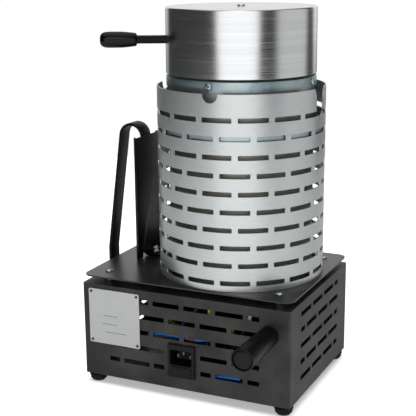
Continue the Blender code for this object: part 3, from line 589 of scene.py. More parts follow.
def in_mm(*points, base=0.0):
    """An outline given in millimetres, its heights counted from a base."""
    return [(r * MM, base + h * MM) for r, h in points]


def arc(centre_r, centre_z, size, from_deg, to_deg, steps=5):
    """Outline points on an arc, for a rounded edge."""
    turns = [math.radians(from_deg + (to_deg - from_deg) * k / steps) for k in range(steps + 1)]
    return [(centre_r + size * math.cos(t), centre_z + size * math.sin(t)) for t in turns]


def block(name, corner_a, corner_b, bevel=0.0, segments=3):
    """A cube stretched between two corners, with its edges bevelled."""
    a, b = Vector(corner_a), Vector(corner_b)
    unselect()
    bpy.ops.mesh.primitive_cube_add(size=1, location=(a + b) / 2, scale=b - a)
    piece = start(name)
    mode("OBJECT")
    apply_place()
    if bevel:
        mode("EDIT")
        bpy.ops.mesh.select_all(action="SELECT")
        bpy.ops.mesh.bevel(offset=bevel, segments=segments, affect="EDGES")
        mode("OBJECT")
    return piece


def cut(piece, *tools):
    """Cuts the tools out of the piece and throws them away."""
    settle(piece)
    for tool in tools:
        settle(tool)
        boolean = piece.modifiers.new("cut", "BOOLEAN")
        boolean.object, boolean.operation = tool, "DIFFERENCE"
        settle(piece)
        bpy.data.objects.remove(tool, do_unlink=True)
    return piece


def lay_along(piece, foot, way):
    """Turns a piece that was made upright at the origin to lie along a direction."""
    turn = Vector(way).to_track_quat("Z", "Y").to_matrix().to_4x4()
    piece.matrix_world = Matrix.Translation(foot) @ turn
    return settle(piece)


def edges_softened(piece, width, segments=2, angle=40):
    bevel = piece.modifiers.new("soft_edges", "BEVEL")
    bevel.width, bevel.segments = width, segments
    bevel.limit_method, bevel.angle_limit = "ANGLE", math.radians(angle)
    return piece


def copied(piece, name, shift):
    """Another of the same piece, with its own mesh."""
    twin = piece.copy()
    twin.data = piece.data.copy()
    twin.name = twin.data.name = name
    bpy.context.scene.collection.objects.link(twin)
    twin.data.transform(Matrix.Translation(shift))
    return twin


# %% [markdown]
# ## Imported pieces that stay
# Folded sheet and flat plate need no new shape, only their finish.

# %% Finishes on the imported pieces
KEPT = {
    "cabinet_shell": cabinet_paint, "cabinet_base": cabinet_paint, "top_plate": plate_paint,
    "rating_plate": plate_metal, "fuse": clear_glass, "grip_bolt": bolt_zinc,
    "heating_coil": bright_steel, "thermocouple": bright_steel, "insulation_liner": fibre_felt,
    "pivot_socket": bright_steel, "terminal_block": cream_plastic, "wire_blue": blue_pvc,
    "wire_red": red_pvc, "wire_earth": green_pvc, "controller_case": spark_plastic,
    "controller_display": smoked_red, "switch_frame": spark_plastic,
    "lid_pivot_pin": bright_steel,
}
for name in [n for n in frame["nodes"] if n.startswith("spacer_")]:
    KEPT[name] = bolt_zinc
for name, mat in KEPT.items():
    mesh = frame["nodes"][name].data
    mesh.materials.clear()
    mesh.materials.append(mat)
print(len(KEPT), "packed pieces stay")

# %% [markdown]
# ## The lid
# A deep aluminium can, turned all over.  Its skirt is about 66 mm tall and its top edge
# is only just broken, with a radius of a millimetre and a half.  The outline runs from
# the inner ceiling down the inside, round the lip, and up the outside to the top.

# %% Lid can
def lid_can():
    r, z0, z1 = round_size("lid_shell")
    wall, lip, edge = 1.5 * MM, 5.2 * MM, 1.5 * MM
    outline = [(r - wall, z1 - wall), (r - wall, z0 + 1.2 * MM), (r - wall - lip, z0 + 1.2 * MM),
               (r - wall - lip, z0), (r - 0.5 * MM, z0), (r, z0 + 0.5 * MM), (r, z0 + 20 * MM),
               *arc(r - edge, z1 - edge, edge, 0, 90), (r * 0.97, z1), (r * 0.6, z1),
               (r * 0.25, z1)]
    can = turned("lid_can", outline, TOWER, 128)
    return finish(can, turned_aluminium, "lid", ["lid_shell"])


lid_can()


# %% [markdown]
# The lid's lining is a block of ceramic fibre that fills the can down to its lip.  It is
# seen from below when the lid is swung open: a ring of soft felt with a shallow dish
# that the heat has burnt in over the crucible.

# %% Lid lining
def lid_lining():
    r, z0, z1 = round_size("lid_insulation")
    step = 1.5 * MM
    outline = [(r - 10 * MM, z1), (r, z1 - step), (r, z0 + step),
               *in_mm((69.5, 1.5), (69.2, 0.4), (68.5, 0), (40, 0), (37, 1.2), (20, 2.2), base=z0)]
    lining = turned("lid_lining", outline, TOWER, 96)
    return finish(lining, fibre_felt, "lid", ["lid_insulation"])


lid_lining()


# %% [markdown]
# ## Screws
# The same pan-head screw with a crossed slot holds the collar and the lid.  A head is
# turned as a shallow dome, and two crossed bars are cut out of it.  It is made upright
# at the origin and then laid along the direction that it points out.

# %% Pan-head screws
def cross(x, y, thin, reach, bottom, top):
    """Two crossed bars, to cut a screw's slot with."""
    return [block("slot", (x - a, y - b, bottom), (x + a, y + b, top))
            for a, b in ((thin, reach), (reach, thin))]


def pan_head(name, foot, way, size, height, shank_length, shank_size):
    """A screw head whose underside is at foot, its shank going back the other way."""
    outline = [(shank_size, -shank_length), (shank_size, 0.0), (size * 0.985, 0.0),
               (size, 0.15 * MM), (size, height * 0.35), (size * 0.93, height * 0.62),
               (size * 0.72, height * 0.88), (size * 0.4, height)]
    head = turned(name, outline, sides=32)
    cut(head, *cross(0, 0, 0.16 * size, 0.55 * size, height - height * 0.55, height + MM))
    edges_softened(head, 0.12 * MM, 1, 50)
    return lay_along(head, foot, way)


def outward(degrees):
    return Vector((math.cos(math.radians(degrees)), math.sin(math.radians(degrees)), 0))


screw_height = middle("collar_screw_1").z
for number, degrees in enumerate((-91.0, 0.0, 90.0, 180.0), 1):
    out = outward(degrees)
    foot = Vector((*TOWER, screw_height)) + out * (radius("collar_ring") + 0.2 * MM)
    screw = pan_head("collar_pan_screw_%d" % number, foot, out, 3.9 * MM, 2.3 * MM,
                     6 * MM, 2 * MM)
    finish(screw, bolt_zinc, "furnace", ["collar_screw_%d" % number])

lid_top = Vector((*TOWER, high("lid_shell").z + 0.1 * MM))
finish(pan_head("lid_pan_screw", lid_top, (0, 0, 1), 4.2 * MM, 1.9 * MM, 18 * MM, 2 * MM),
       turned_aluminium, "lid", ["lid_screw"])
print("five pan-head screws made")


# %% [markdown]
# The four bolts through the plate, and the one through the strap's foot, have low domed
# heads with a crossed slot.

# %% Plate and strap bolts
def domed_bolt(name, node):
    spot = middle(node)
    r, bottom, top = round_size(node)
    seat, dome, shank = top - 2.4 * MM, 4.66 * MM, 2.4 * MM
    outline = [(shank, bottom + MM), (shank, seat), (r, seat), (r, seat + 0.55 * MM),
               (r * 0.94, seat + 0.7 * MM), *arc(0.0, top - dome, dome, 39, 78, 4)]
    bolt = turned(name, outline, (spot.x, spot.y), 40)
    cut(bolt, *cross(spot.x, spot.y, 0.4 * MM, 1.8 * MM, top - 0.9 * MM, top + MM))
    return finish(bolt, bolt_zinc, "furnace", [node])


for node in [n for n in frame["nodes"] if n.startswith("plate_bolt_")]:
    domed_bolt(node.replace("plate_bolt", "domed_bolt"), node)
domed_bolt("domed_bolt_strap", "strap_bolt")
print("five domed bolts made")


# %% [markdown]
# ## The collar and the mouth
# The collar is a low zinc-plated ring pressed over the top of the inner shell, with a
# rounded shoulder and a flat rim that reaches in over the insulation.  Inside the rim a
# fired clay ring makes the furnace's mouth.  Below it hangs the crucible, in a clay tube
# whose grooves hold the heating wire.

# %% Collar, mouth ring, muffle and crucible
def collar():
    r, z0, z1 = round_size("collar_ring")
    inner, sheet, edge = 50 * MM, 1.2 * MM, 0.9 * MM
    outline = [(inner, z1 - sheet), (r - sheet, z1 - sheet), (r - sheet, z0), (r, z0),
               (r, z1 - 4 * MM), *arc(r - edge, z1 - edge, edge, 0, 90, 4), (inner + MM, z1),
               (inner, z1 - 0.3 * MM)]
    ring = turned("zinc_collar", outline, TOWER, 112, ring=True)
    hole = middle("lid_pivot_pin")
    bore = turned("bore", in_mm((4.6, -5), (4.6, 5), base=z1), (hole.x, hole.y), 24)
    cut(ring, bore)
    return finish(ring, zinc, "furnace", ["collar_ring"])


def mouth():
    r, z0, z1 = round_size("mouth_ring")
    inner = 33 * MM
    outline = [(inner, z0), (r, z0), (r, z1 - 0.4 * MM), (r - 0.4 * MM, z1),
               *arc(inner + 2.2 * MM, z1 - 2.2 * MM, 2.2 * MM, 90, 180, 5)]
    ring = turned("clay_mouth_ring", outline, TOWER, 96, ring=True)
    finish(ring, fired_clay, "furnace", ["mouth_ring"])


def muffle():
    """The clay tube round the crucible, with a groove for each turn of the heating wire."""
    r, z0, z1 = round_size("heater_muffle")
    inner, margin, turns = 36.2, 6 * MM, 14
    grooves = []
    for k in range(turns):
        mid = z1 - margin - (z1 - z0 - 2 * margin) * k / (turns - 1)
        grooves += in_mm((inner, 2.4), (37.4, 1.2), (37.4, -1.2), (inner, -2.4), base=mid)
    outline = [(r, z0), (r, z1), (inner * MM, z1), *grooves, (inner * MM, z0)]
    tube = turned("grooved_muffle", outline, TOWER, 72, ring=True)
    finish(tube, fired_clay, "furnace", ["heater_muffle"])


def crucible():
    """A graphite pot with a rolled rim and a lip drawn out towards the pouring side."""
    r, z0, z1 = round_size("crucible")
    outline = [*in_mm((16, 12.2), (19, 13.5), (20.2, 17), base=z0),
               *in_mm((24.4, -3), (25.6, -0.5), (27, 0), base=z1),
               (r - 1.4 * MM, z1), *arc(r - 1.2 * MM, z1 - 1.2 * MM, 1.2 * MM, 75, 0, 3),
               (r, z1 - 8 * MM), (r - MM, z1 - 10.5 * MM),
               *in_mm((25.2, 4), (24, 1.2), (22.5, 0), base=z0)]
    pot = turned("graphite_crucible", outline, TOWER, 80)
    lip = turned("lip", in_mm((3.2, -3), (4.6, 8)), sides=24)
    lay_along(lip, (axis.x + 20 * MM, axis.y, z1 + 2.4 * MM), (1, 0, 0.1))
    cut(pot, lip)
    return finish(pot, graphite, "furnace", ["crucible"])


collar()
mouth()
muffle()
crucible()
print("lid, collar and mouth made")

# %% [markdown]
# ## The guard
# The guard is punched flat and rolled, and it is modelled the same way.  A grid stands
# for the sheet.  Its columns fall on the edges of the slots, its rows on their tops and
# bottoms, so the slots are simply faces that are deleted.  Each row is turned half a
# slot's pitch from the one above, like brickwork.  The sheet is then rolled up by
# sending each point's distance along it to an angle.  Last, the flared pouring notch and
# three scoops for the collar's screws are cut from its rim.

# %% Punched and rolled guard
SLOTS_ROUND, SLOT_ROWS, PITCH = 15, 10, 24.0
MARKS = (0, 4, 8, 12, 16, 20)          # the grid's columns within a pitch, in degrees
BRIDGES = 5, 2                         # the column left whole, in even and in odd rows
FIRST_SLOT = -93.1                     # where the top row starts, degrees from +X
LOWEST_ROW, ROW_PITCH, SLOT_HEIGHT = 9 * MM, 18.05 * MM, 5 * MM
NOTCH_HALF, NOTCH_FLARE = 8.6 * MM, 14.5 * MM
NOTCH_FOOT, NOTCH_ASIDE = 168.7 * MM, 3 * MM
SCREW_ACCESS = -87.4, 92.6, 182.6      # where the rim is scooped out for a screw, degrees


def guard():
    r, z0, z1 = round_size("guard")
    angles = [FIRST_SLOT + PITCH * k + m for k in range(SLOTS_ROUND) for m in MARKS]
    angles.append(angles[0] + 360)
    heights = [z0]
    for row in range(SLOT_ROWS):
        mid = deck + LOWEST_ROW + ROW_PITCH * row
        heights += [mid - SLOT_HEIGHT / 2, mid + SLOT_HEIGHT / 2]
    heights.append(z1)
    across, up = len(angles) - 1, len(heights) - 1
    unselect()
    bpy.ops.mesh.primitive_grid_add(x_subdivisions=across, y_subdivisions=up, size=1)
    sheet = start("punched_guard")

    def is_slot(face):
        spot = face.calc_center_median()
        column, band = math.floor((spot.x + 0.5) * across), math.floor((spot.y + 0.5) * up)
        if band % 2 == 0:
            return False
        from_top = SLOT_ROWS - 1 - band // 2
        return column % len(MARKS) != BRIDGES[from_top % 2]

    pick(sheet, "FACE", is_slot)
    bpy.ops.mesh.delete(type="FACE")
    cage = bmesh.from_edit_mesh(sheet.data)
    for vert in cage.verts:
        turn = math.radians(angles[round((vert.co.x + 0.5) * across)])
        height = heights[round((vert.co.y + 0.5) * up)]
        vert.co = (axis.x + r * math.cos(turn), axis.y + r * math.sin(turn), height)
    bmesh.update_edit_mesh(sheet.data)
    bpy.ops.mesh.select_all(action="SELECT")
    bpy.ops.mesh.remove_doubles(threshold=1e-5)

    def slot_corner(vert):
        return len(vert.link_faces) == 3 and z0 + MM < vert.co.z < z1 - MM

    pick(sheet, "VERT", slot_corner)
    bpy.ops.mesh.bevel(offset=0.9 * MM, segments=2, affect="VERTICES")
    face_outward()
    mode("OBJECT")
    wall = sheet.modifiers.new("sheet", "SOLIDIFY")
    wall.thickness, wall.offset = 1.2 * MM, -1.0
    settle(sheet)

    spout_y, round_z, half = axis.y - NOTCH_ASIDE, deck + NOTCH_FOOT + NOTCH_HALF, NOTCH_HALF
    inside, outside = axis.x + 60 * MM, axis.x + 110 * MM
    notch = turned("notch", [(half, inside), (half, outside)], sides=32)
    lay_along(notch, (0, spout_y, round_z), (1, 0, 0))
    throat, mouth_cut = [block(name, (inside, spout_y - half, bottom),
                               (outside, spout_y + half, z1 + 5 * MM))
                         for name, bottom in (("throat", round_z), ("flare", z1 - 7 * MM))]
    mode("EDIT")
    pick(mouth_cut, "VERT", lambda vert: vert.co.z > z1)
    bpy.ops.transform.resize(value=(1, NOTCH_FLARE / half, 1),
                             center_override=(axis.x, spout_y, z1))
    mode("OBJECT")
    tools = [notch, throat, mouth_cut]
    for way in map(outward, SCREW_ACCESS):
        access = turned("access", in_mm((8, 0), (8, 16)), sides=32)
        foot = Vector((*TOWER, z1 - 0.8 * MM)) + way * (r - 8 * MM)
        tools.append(lay_along(access, foot, way))
    cut(sheet, *tools)
    edges_softened(sheet, 0.25 * MM, 1, 55)
    return finish(sheet, guard_steel, "furnace", ["guard"])


guard()


# %% [markdown]
# Behind the slots is the inner shell of satin stainless.  Near its top a zinc hoop with
# a flat web stands off it, just inside the guard, and fills one row of slots with blue.

# %% Inner shell and hoop
def shell_and_hoop():
    r, z0, z1 = round_size("furnace_shell")
    wall, inner = 0.8 * MM, r + 0.3 * MM
    outline = [(r - wall, z0 + wall), (r - wall, z1), (r, z1), (r, z0 + 150 * MM), (r, z0 + MM),
               (r - MM, z0), (r * 0.5, z0)]
    shell = turned("stainless_shell", outline, TOWER, 112)
    finish(shell, satin_steel, "furnace", ["furnace_shell"])
    r, z0, z1 = round_size("shell_hoop")
    edge, sheet = 0.4 * MM, 1.2 * MM
    outline = [(inner, z0), (r - edge, z0), (r, z0 + edge), (r, z1 - edge), (r - edge, z1),
               (r - sheet, z1), (r - sheet, z0 + sheet), (inner, z0 + sheet)]
    hoop = turned("zinc_hoop", outline, TOWER, 112, ring=True)
    finish(hoop, zinc, "furnace", ["shell_hoop"])


shell_and_hoop()
print("shell and hoop made")


# %% [markdown]
# ## Handle and grips
# The lid's handle is a black rod screwed into the skirt, ending in a phenolic grip that
# swells towards its rounded tip.

# %% Lid handle
def lid_handle():
    rod_z = middle("lid_rod").z
    way = (middle("lid_grip") - Vector((axis.x, axis.y, rod_z)))
    way.z = 0
    way.normalize()
    foot = (*TOWER, rod_z)
    thick, thin = 4.2, 3.78            # the rod's radius, and that of its broken ends
    rod = turned("handle_rod", in_mm((thin, 63), (thick, 63.5), (thick, 133), (thin, 134)),
                 sides=32)
    lay_along(rod, foot, way)
    finish(rod, enamel, "lid", ["lid_rod"])
    grip = turned("handle_grip", in_mm(
        (4.3, 105.8), (4.6, 105.7), (5.4, 105.7), (6.6, 106.9), (6.8, 107.6), (7.2, 111),
        (7.75, 116), (8.15, 121), (8.2, 127), (8.2, 133.5), (8.0, 137), (7.3, 139.8),
        (6.0, 141.8), (4.0, 142.9), (1.5, 143.2)), sides=48)
    lay_along(grip, foot, way)
    finish(grip, phenolic, "lid", ["lid_grip"], angle=60)


lid_handle()
print("lid handle made")


# %% [markdown]
# The grip on the base is a plastic tube, a little thinner where it meets the cabinet.  A
# plug is pressed into its outer end and covers the bolt behind it.  Its rim is serrated: every
# second point of its outer circle is drawn in.

# %% Base grip
def base_grip():
    foot = Vector((middle("base_grip").x, high("base_grip").y, middle("base_grip").z))
    length = high("base_grip").y - low("base_grip").y
    r = radius("base_grip")
    bore = r - 1.8 * MM
    outline = [(4.2 * MM, 0), (r - 1.7 * MM, 0), (r - 1.4 * MM, 0.3 * MM),
               (r - 0.7 * MM, length * 0.5), *arc(r - MM, length - MM, MM, 0, 90, 4),
               (bore + 0.2 * MM, length), (bore, length - 0.3 * MM), (bore, length - 6 * MM),
               (4.2 * MM, length - 6 * MM)]
    tube = turned("grip_tube", outline, sides=64, ring=True)
    lay_along(tube, foot, (0, -1, 0))
    finish(tube, tube_plastic, "furnace", ["base_grip"])
    r, base = radius("grip_plug"), foot.y - high("grip_plug").y
    top = foot.y - low("grip_plug").y
    edge, sides = 0.8 * MM, 96
    outline = [(r * 0.9, base), (r, base + 0.4 * MM), *arc(r - edge, top - edge, edge, 0, 90, 3),
               (r * 0.6, top), (r * 0.3, top - 0.25 * MM)]
    plug = turned("grip_end_plug", outline, sides=sides)
    mode("EDIT")
    pick(plug, "VERT", lambda v: v.co.xy.length > r * 0.95
         and round(math.atan2(v.co.y, v.co.x) / math.radians(360 / sides)) % 2)
    bpy.ops.transform.resize(value=(0.96, 0.96, 1), center_override=(0, 0, 0))
    mode("OBJECT")
    lay_along(plug, foot, (0, -1, 0))
    finish(plug, spark_plastic, "furnace", ["grip_plug"])


base_grip()
print("base grip made")


# %% [markdown]
# ## Strap handle and heat shield
# Both are flat steel that was bent on a brake, so both are modelled flat and bent.  The
# strap is a narrow grid whose columns are sent along a path of straight runs and arcs.
# The shield is a plane whose two long edges are extruded back at 45 degrees.

# %% Strap handle
def rounded_path(corners, segments=8):
    """Straight runs whose corners (x, z, radius) are arcs."""
    points = []
    for i, (x, z, size) in enumerate(corners):
        here = Vector((x, z))
        if not size:
            points.append(here)
            continue
        back = (Vector(corners[i - 1][:2]) - here).normalized()
        ahead = (Vector(corners[i + 1][:2]) - here).normalized()
        half = back.angle(ahead) / 2
        centre = here + (back + ahead).normalized() * size / math.sin(half)
        first = here + back * size / math.tan(half) - centre
        last = here + ahead * size / math.tan(half) - centre
        sweep = first.angle_signed(last)
        for k in range(segments + 1):
            points.append(centre + Matrix.Rotation(-sweep * k / segments, 2) @ first)
    return points


def strap():
    thick = 3 * MM
    side, right = low("strap_handle").x + thick / 2, high("strap_handle").x
    top, tail = high("strap_handle").z - thick / 2, low("strap_handle").z
    wall_x, elbow = low("cabinet_shell").x - 1.8 * MM, tail + 17 * MM
    foot = deck + 1.8 * MM
    leg = side + 43.9 * MM
    path = rounded_path([(wall_x, tail, 0), (wall_x, elbow, 5 * MM), (side, elbow, 5 * MM),
                         (side, elbow + 28 * MM, 20 * MM), (side + 19.5 * MM, top, 13 * MM),
                         (leg, top, 13 * MM), (leg, foot, 5 * MM), (right, foot, 0)])
    y0, y1 = low("strap_handle").y, high("strap_handle").y
    count = len(path) - 1
    unselect()
    bpy.ops.mesh.primitive_grid_add(x_subdivisions=count, y_subdivisions=2, size=1)
    bar = start("strap_bar")
    cage = bmesh.from_edit_mesh(bar.data)
    for vert in cage.verts:
        spot = path[round((vert.co.x + 0.5) * count)]
        vert.co = (spot.x, y0 + (vert.co.y + 0.5) * (y1 - y0), spot.y)
    bmesh.update_edit_mesh(bar.data)
    bpy.ops.mesh.normals_make_consistent(inside=False)
    mode("OBJECT")
    wall = bar.modifiers.new("bar", "SOLIDIFY")
    wall.thickness, wall.offset, wall.use_even_offset = thick, 0.0, True
    edges_softened(bar, 0.7 * MM, 3, 60)
    finish(bar, enamel, "furnace", ["strap_handle"])
    outline = in_mm((1.8, -3), (1.8, 0), (3, 0), (2.9, 0.5), (2.2, 1.1), (1.0, 1.4))
    for number, y in enumerate((y0 + 5 * MM, y1 - 5 * MM), 1):
        rivet = turned("strap_rivet_%d" % number, outline, sides=24)
        lay_along(rivet, (wall_x - thick / 2, y, tail + 6 * MM), (-1, 0, 0))
        finish(rivet, enamel, "furnace")


strap()
print("strap made")


# %% [markdown]
# The shield stands between the strap and the hot tower.  Its foot is arched, so that it
# clears the foot of the strap, which passes under it to its bolt.

# %% Heat shield
def shield():
    z0, z1 = low("heat_shield").z, high("heat_shield").z
    face_x = high("heat_shield").x - 0.75 * MM
    y0, y1 = low("heat_shield").y + 0.4 * MM, high("heat_shield").y - 0.4 * MM
    fold = 4.5 * MM
    mid_y, mid_z = (y0 + y1) / 2, (z0 + z1) / 2
    unselect()
    bpy.ops.mesh.primitive_plane_add(size=1, location=(face_x, mid_y, mid_z),
                                     rotation=(0, math.radians(90), 0))
    sheet = start("shield_sheet")
    bpy.ops.transform.resize(value=(1, y1 - y0, z1 - z0),
                             center_override=(face_x, mid_y, mid_z))
    mode("OBJECT")
    apply_place()
    mode("EDIT")
    for side, inward in ((y0, fold), (y1, -fold)):
        pick(sheet, "EDGE", lambda edge: all(
            abs(v.co.y - side) < 1e-5 and abs(v.co.x - face_x) < 1e-5 for v in edge.verts))
        bpy.ops.mesh.extrude_edges_move(TRANSFORM_OT_translate={"value": (-fold, inward, 0)})
    face_outward()
    mode("OBJECT")
    wall = sheet.modifiers.new("sheet", "SOLIDIFY")
    wall.thickness, wall.offset, wall.use_even_offset = 1.5 * MM, 0.0, True
    settle(sheet)
    arch = block("arch", (face_x - 30 * MM, y0 + 9 * MM, z0 - 5 * MM),
                 (face_x + 30 * MM, y1 - 9 * MM, deck + 6.2 * MM), 2 * MM)
    cut(sheet, arch)
    edges_softened(sheet, 0.35 * MM, 2, 40)
    return finish(sheet, enamel, "furnace", ["heat_shield"])


shield()


# %% [markdown]
# ## Feet
# Moulded rubber feet: a short neck under the cabinet, two round beads with a groove
# between them, and a narrower underside on the bench.  One is turned and the other
# three are copies of it.

# %% Rubber feet
def feet():
    nodes = sorted(n for n in frame["nodes"] if n.startswith("foot_"))
    spot, r, top = middle(nodes[0]), radius(nodes[0]), high(nodes[0]).z
    # how far in from the widest circle, and how high above the bench, in millimetres
    beads = [(6.8, 0.9), (6.4, 0), (3.8, 0), (3.2, 0.25), (1.7, 2.0), (1.0, 2.9), (0.8, 3.7),
             (1.0, 4.5), (1.35, 4.85), (1.4, 5.1), (1.3, 5.35), (0.5, 5.7), (0.1, 6.3),
             (0, 6.9), (0.1, 7.5), (0.5, 8.0), (1.6, 8.35), (1.8, 8.6)]
    outline = [(r - a * MM, b * MM) for a, b in beads]
    outline += [(r - 1.8 * MM, top - 0.1 * MM), (r - 1.9 * MM, top), (r * 0.5, top)]
    first = turned("rubber_" + nodes[0], outline, (spot.x, spot.y), 48)
    made = [first, *[copied(first, "rubber_" + node, middle(node) - spot) for node in nodes[1:]]]
    for foot, node in zip(made, nodes):
        finish(foot, foot_rubber, "furnace", [node])


feet()
print("handles, shield and feet made")

# %% [markdown]
# ## The mains inlet
# A moulded bezel round the deep socket that the mains connector goes in, with a fuse
# drawer under it.  The body is a bevelled block, and the socket and the drawer's
# pocket are cut out of it.  The three pins stand well back in the socket, and their
# dark grey colour is painted shade for the depth they stand in.

# %% Inlet and fuse drawer
def inlet():
    a, b = low("inlet_housing"), high("inlet_housing")
    mid_x = middle("inlet_housing").x
    face_back = low("cabinet_shell").y - 0.3 * MM
    bezel = block("inlet_bezel", (a.x, a.y, a.z), (b.x, face_back, b.z), 0.9 * MM, 4)
    body = block("body", (mid_x - 13 * MM, a.y + 2 * MM, a.z + 1.7 * MM),
                 (mid_x + 13 * MM, b.y, b.z - 1.6 * MM))
    joined = bezel.modifiers.new("join", "BOOLEAN")
    joined.operation, joined.object = "UNION", body
    settle(bezel)
    bpy.data.objects.remove(body, do_unlink=True)
    socket_z = middle("pin_live").z + MM
    socket = block("socket", (mid_x - 12.25 * MM, a.y - 5 * MM, socket_z - 8.25 * MM),
                   (mid_x + 12.25 * MM, a.y + 17 * MM, socket_z + 8.25 * MM), 2.2 * MM, 4)
    drawer_a, drawer_b = low("fuse_drawer"), high("fuse_drawer")
    gap = 0.3 * MM
    pocket = block("pocket", (drawer_a.x - gap, a.y - 5 * MM, drawer_a.z - gap),
                   (drawer_b.x + gap, a.y + 24.5 * MM, drawer_b.z + gap))
    cut(bezel, socket, pocket)
    edges_softened(bezel, 0.25 * MM, 2, 50)
    finish(bezel, spark_plastic, "furnace", ["inlet_housing"])

    for node in ("pin_live", "pin_neutral", "pin_earth"):
        pin_a, pin_b = low(node), high(node)
        pin = block("inlet_" + node, pin_a + Vector((0, 4 * MM, 0)), pin_b, 0.45 * MM, 2)
        finish(pin, pin_grey_painted_shade, "furnace", [node])

    drawer = block("fuse_tray", drawer_a, drawer_b, 0.7 * MM, 3)
    bed = block("bed", (mid_x - 3.1 * MM, drawer_a.y + 3 * MM, drawer_a.z + 2 * MM),
                (mid_x + 3.1 * MM, drawer_b.y - 0.8 * MM, drawer_b.z + 5 * MM))
    cut(drawer, bed)
    finish(drawer, spark_plastic, "drawer", ["fuse_drawer"])


inlet()
print("inlet, pins and fuse drawer made")


# %% [markdown]
# ## The rating plate
# The real plate is printed and filled in by hand.  Here it keeps only what is generic:
# three ruled lines to write on, and four black rivets through its corners.

# %% Rivets and ruled lines
def rating_plate():
    a, b = low("rating_plate"), high("rating_plate")
    inset = 3 * MM
    corners = [(x, z) for x in (a.x + inset, b.x - inset) for z in (a.z + inset, b.z - inset)]
    outline = in_mm((0.9, -0.6), (0.9, 0), (1.5, 0), (1.45, 0.4), (1.1, 0.75), (0.5, 0.9))
    for number, (x, z) in enumerate(corners, 1):
        rivet = turned("rivet_%d" % number, outline, sides=24)
        lay_along(rivet, (x, a.y, z), (0, -1, 0))
        finish(rivet, ink, "furnace")
    lines = ((31, 17, 34), (22, 15, 33), (13, 19, 44))     # height, start and end, in mm
    for number, (height, from_x, to_x) in enumerate(lines, 1):
        rule = block("ruled_line_%d" % number,
                     (a.x + from_x * MM, a.y - 0.08 * MM, a.z + height * MM),
                     (a.x + to_x * MM, a.y + 0.1 * MM, a.z + (height + 0.45) * MM), 0.02 * MM, 1)
        finish(rule, ink, "furnace")


rating_plate()
print("rivets and ruled lines made")


# %% [markdown]
# ## Loose ends behind the slots
# Through the slots of the inlet side a few more wires show: a red crimp where the blue
# lead is joined, a blue lead low on the right, a yellow and a green one, and the corner
# of a small terminal strip.  A wire is a turned rod that is laid along its run.

# %% Leads and terminals
def lead(name, mat, start_at, end_at, size=1.5):
    """A short straight lead between two points, in mm from 7 mm under the cabinet's middle."""
    zero = Vector((middle("cabinet_shell").x, middle("cabinet_shell").y,
                   low("cabinet_shell").z - 7 * MM))
    a, b = (zero + Vector(p) * MM for p in (start_at, end_at))
    length, r = (b - a).length, size * MM
    end = 0.3 * MM
    outline = [(r * 0.8, 0), (r, end), (r, length - end), (r * 0.8, length)]
    rod = turned(name, outline, sides=20)
    lay_along(rod, a, b - a)
    return finish(rod, mat, "furnace")


def terminal_strip():
    spot, top = middle("cabinet_shell"), high("cabinet_shell").z
    strip = block("terminal_strip", (spot.x + 69 * MM, spot.y - 85 * MM, top - 18 * MM),
                  (spot.x + 73 * MM, spot.y - 80 * MM, top - 8 * MM), 0.5 * MM, 2)
    finish(strip, cream_plastic, "furnace")


lead("red_crimp", red_pvc, (4.5, -84.0, 62.0), (11.0, -84.0, 61.8), 2.6)
lead("blue_lead_low", blue_pvc, (31.0, -84.0, 26.4), (62.0, -84.0, 27.6), 1.8)
lead("yellow_lead", yellow_pvc, (27.5, -83.0, 84.0), (27.5, -83.0, 104.0), 1.6)
lead("green_lead", green_pvc, (52.6, -83.0, 72.0), (53.4, -83.0, 88.0), 1.5)
terminal_strip()
print("leads and terminal strip made")

# %% [markdown]
# ## The control side
# The controller has a smoked window with two rows of red figures, as on any small
# temperature controller, and three soft buttons marked with plain arrows.  A figure is
# seven bevelled bars, so one short table of which bars are lit makes every figure.

# %% Controller window and buttons
# lit bars: top, upper left, upper right, middle, lower left, lower right, bottom
SEGMENTS = {"0": "1110111", "2": "1011101", "5": "1101011", "8": "1111111"}


def figure(name, text, left, base, size, y):
    """Seven-segment figures, read from behind the furnace, so they run towards -X."""
    thick, wide = size * 0.13, size * 0.56
    made = []
    for place, character in enumerate(text):
        x0 = left - place * wide * 1.5
        x1 = x0 - wide
        top, mid = base + size, base + size / 2
        # each bar's lower x and z, then its upper x and z
        bars = [(x1, top, x0, top), (x0, mid, x0, top), (x1, mid, x1, top), (x1, mid, x0, mid),
                (x0, base, x0, mid), (x1, base, x1, mid), (x1, base, x0, base)]
        for lit, (low_x, low_z, high_x, high_z) in zip(SEGMENTS[character], bars):
            if lit == "0":
                continue
            # along its length a bar is trimmed, and across it is half its thickness wide
            grow_x, grow_z = -0.6 * thick, thick / 2
            if low_x == high_x:
                grow_x, grow_z = grow_z, grow_x
            made.append(block("bar", (low_x - grow_x, y, low_z - grow_z),
                              (high_x + grow_x, y + 0.15 * MM, high_z + grow_z), 0.05 * MM, 1))
    unselect()
    for bar in made:
        bar.select_set(True)
    bpy.context.view_layer.objects.active = made[0]
    bpy.ops.object.join()
    group = bpy.context.object
    group.name = group.data.name = name
    return group


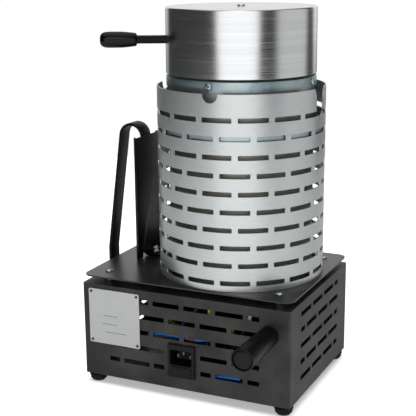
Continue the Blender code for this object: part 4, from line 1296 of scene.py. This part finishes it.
def controller():
    a, b = low("controller_display"), high("controller_display")
    finish(figure("display_upper", "0825", b.x - 5 * MM, a.z + 12.6 * MM, 7.6 * MM, b.y),
           segment_red, "furnace")
    finish(figure("display_lower", "0850", b.x - 8.5 * MM, a.z + 3.0 * MM, 5.6 * MM, b.y),
           segment_red, "furnace")
    for number, point in enumerate((180, 90, 0), 1):       # where its arrow points
        node = "controller_button_%d" % number
        a, b = low(node), high(node)
        key = block("soft_key_%d" % number, a, b, 0.6 * MM, 4)
        finish(key, button_rubber, "button_%d" % number, [node])
        spot = middle(node)
        unselect()
        bpy.ops.mesh.primitive_cylinder_add(vertices=3, radius=1.3 * MM, depth=0.2 * MM,
                                            location=(spot.x, b.y, spot.z),
                                            rotation=(math.radians(90), math.radians(point), 0))
        mark = start("key_arrow_%d" % number)
        bpy.ops.mesh.bevel(offset=0.06 * MM, segments=1, affect="EDGES")
        finish(mark, pale_ink, "button_%d" % number)


controller()
print("controller made")


# %% [markdown]
# The power switch is a rocker with a shallow valley between its two halves, marked with
# the usual bar and ring.  It sits tipped to its off side.

# %% Power rocker
def rocker():
    pivot = Vector(next(j["pos_m"] for j in frame["joints"] if j["name"] == "power_switch"))
    half = (high("power_rocker").x - low("power_rocker").x) / 2
    tip = Matrix.Rotation(math.radians(8), 4, "X")
    unselect()
    bpy.ops.mesh.primitive_circle_add(vertices=32, radius=12 * MM, fill_type="NGON",
                                      rotation=(0, math.radians(90), 0), location=(-half, 0, 0))
    apply_place()
    piece = start("rocker_cap")
    cage = bmesh.from_edit_mesh(piece.data)
    for vert in cage.verts:
        reach = vert.co.z / (12 * MM)
        if vert.co.y >= -1e-6:
            vert.co.y = (1.6 + 1.6 * reach * reach) * MM
        else:
            vert.co.y *= 0.66
    bmesh.update_edit_mesh(piece.data)
    bpy.ops.mesh.extrude_region_move(TRANSFORM_OT_translate={"value": (2 * half, 0, 0)})
    face_outward()
    mode("OBJECT")
    edges_softened(piece, 0.5 * MM, 3, 50)
    settle(piece)
    piece.matrix_world = Matrix.Translation(pivot) @ tip
    finish(piece, phenolic, "rocker", ["power_rocker"])
    bar = block("rocker_bar_mark", (-0.35 * MM, 2.1 * MM, 4.6 * MM),
                (0.35 * MM, 2.5 * MM, 9.0 * MM), 0.08 * MM, 1)
    ring = turned("rocker_ring_mark", in_mm((1.5, 0), (2.2, 0), (2.2, 0.35), (1.5, 0.35)),
                  sides=32, ring=True)
    lay_along(ring, (0, 2.15 * MM, -6.8 * MM), (0, 1, 0))
    for mark in (bar, ring):
        settle(mark)
        mark.matrix_world = Matrix.Translation(pivot) @ tip
        finish(mark, pale_ink, "rocker")


rocker()
print("power rocker made")
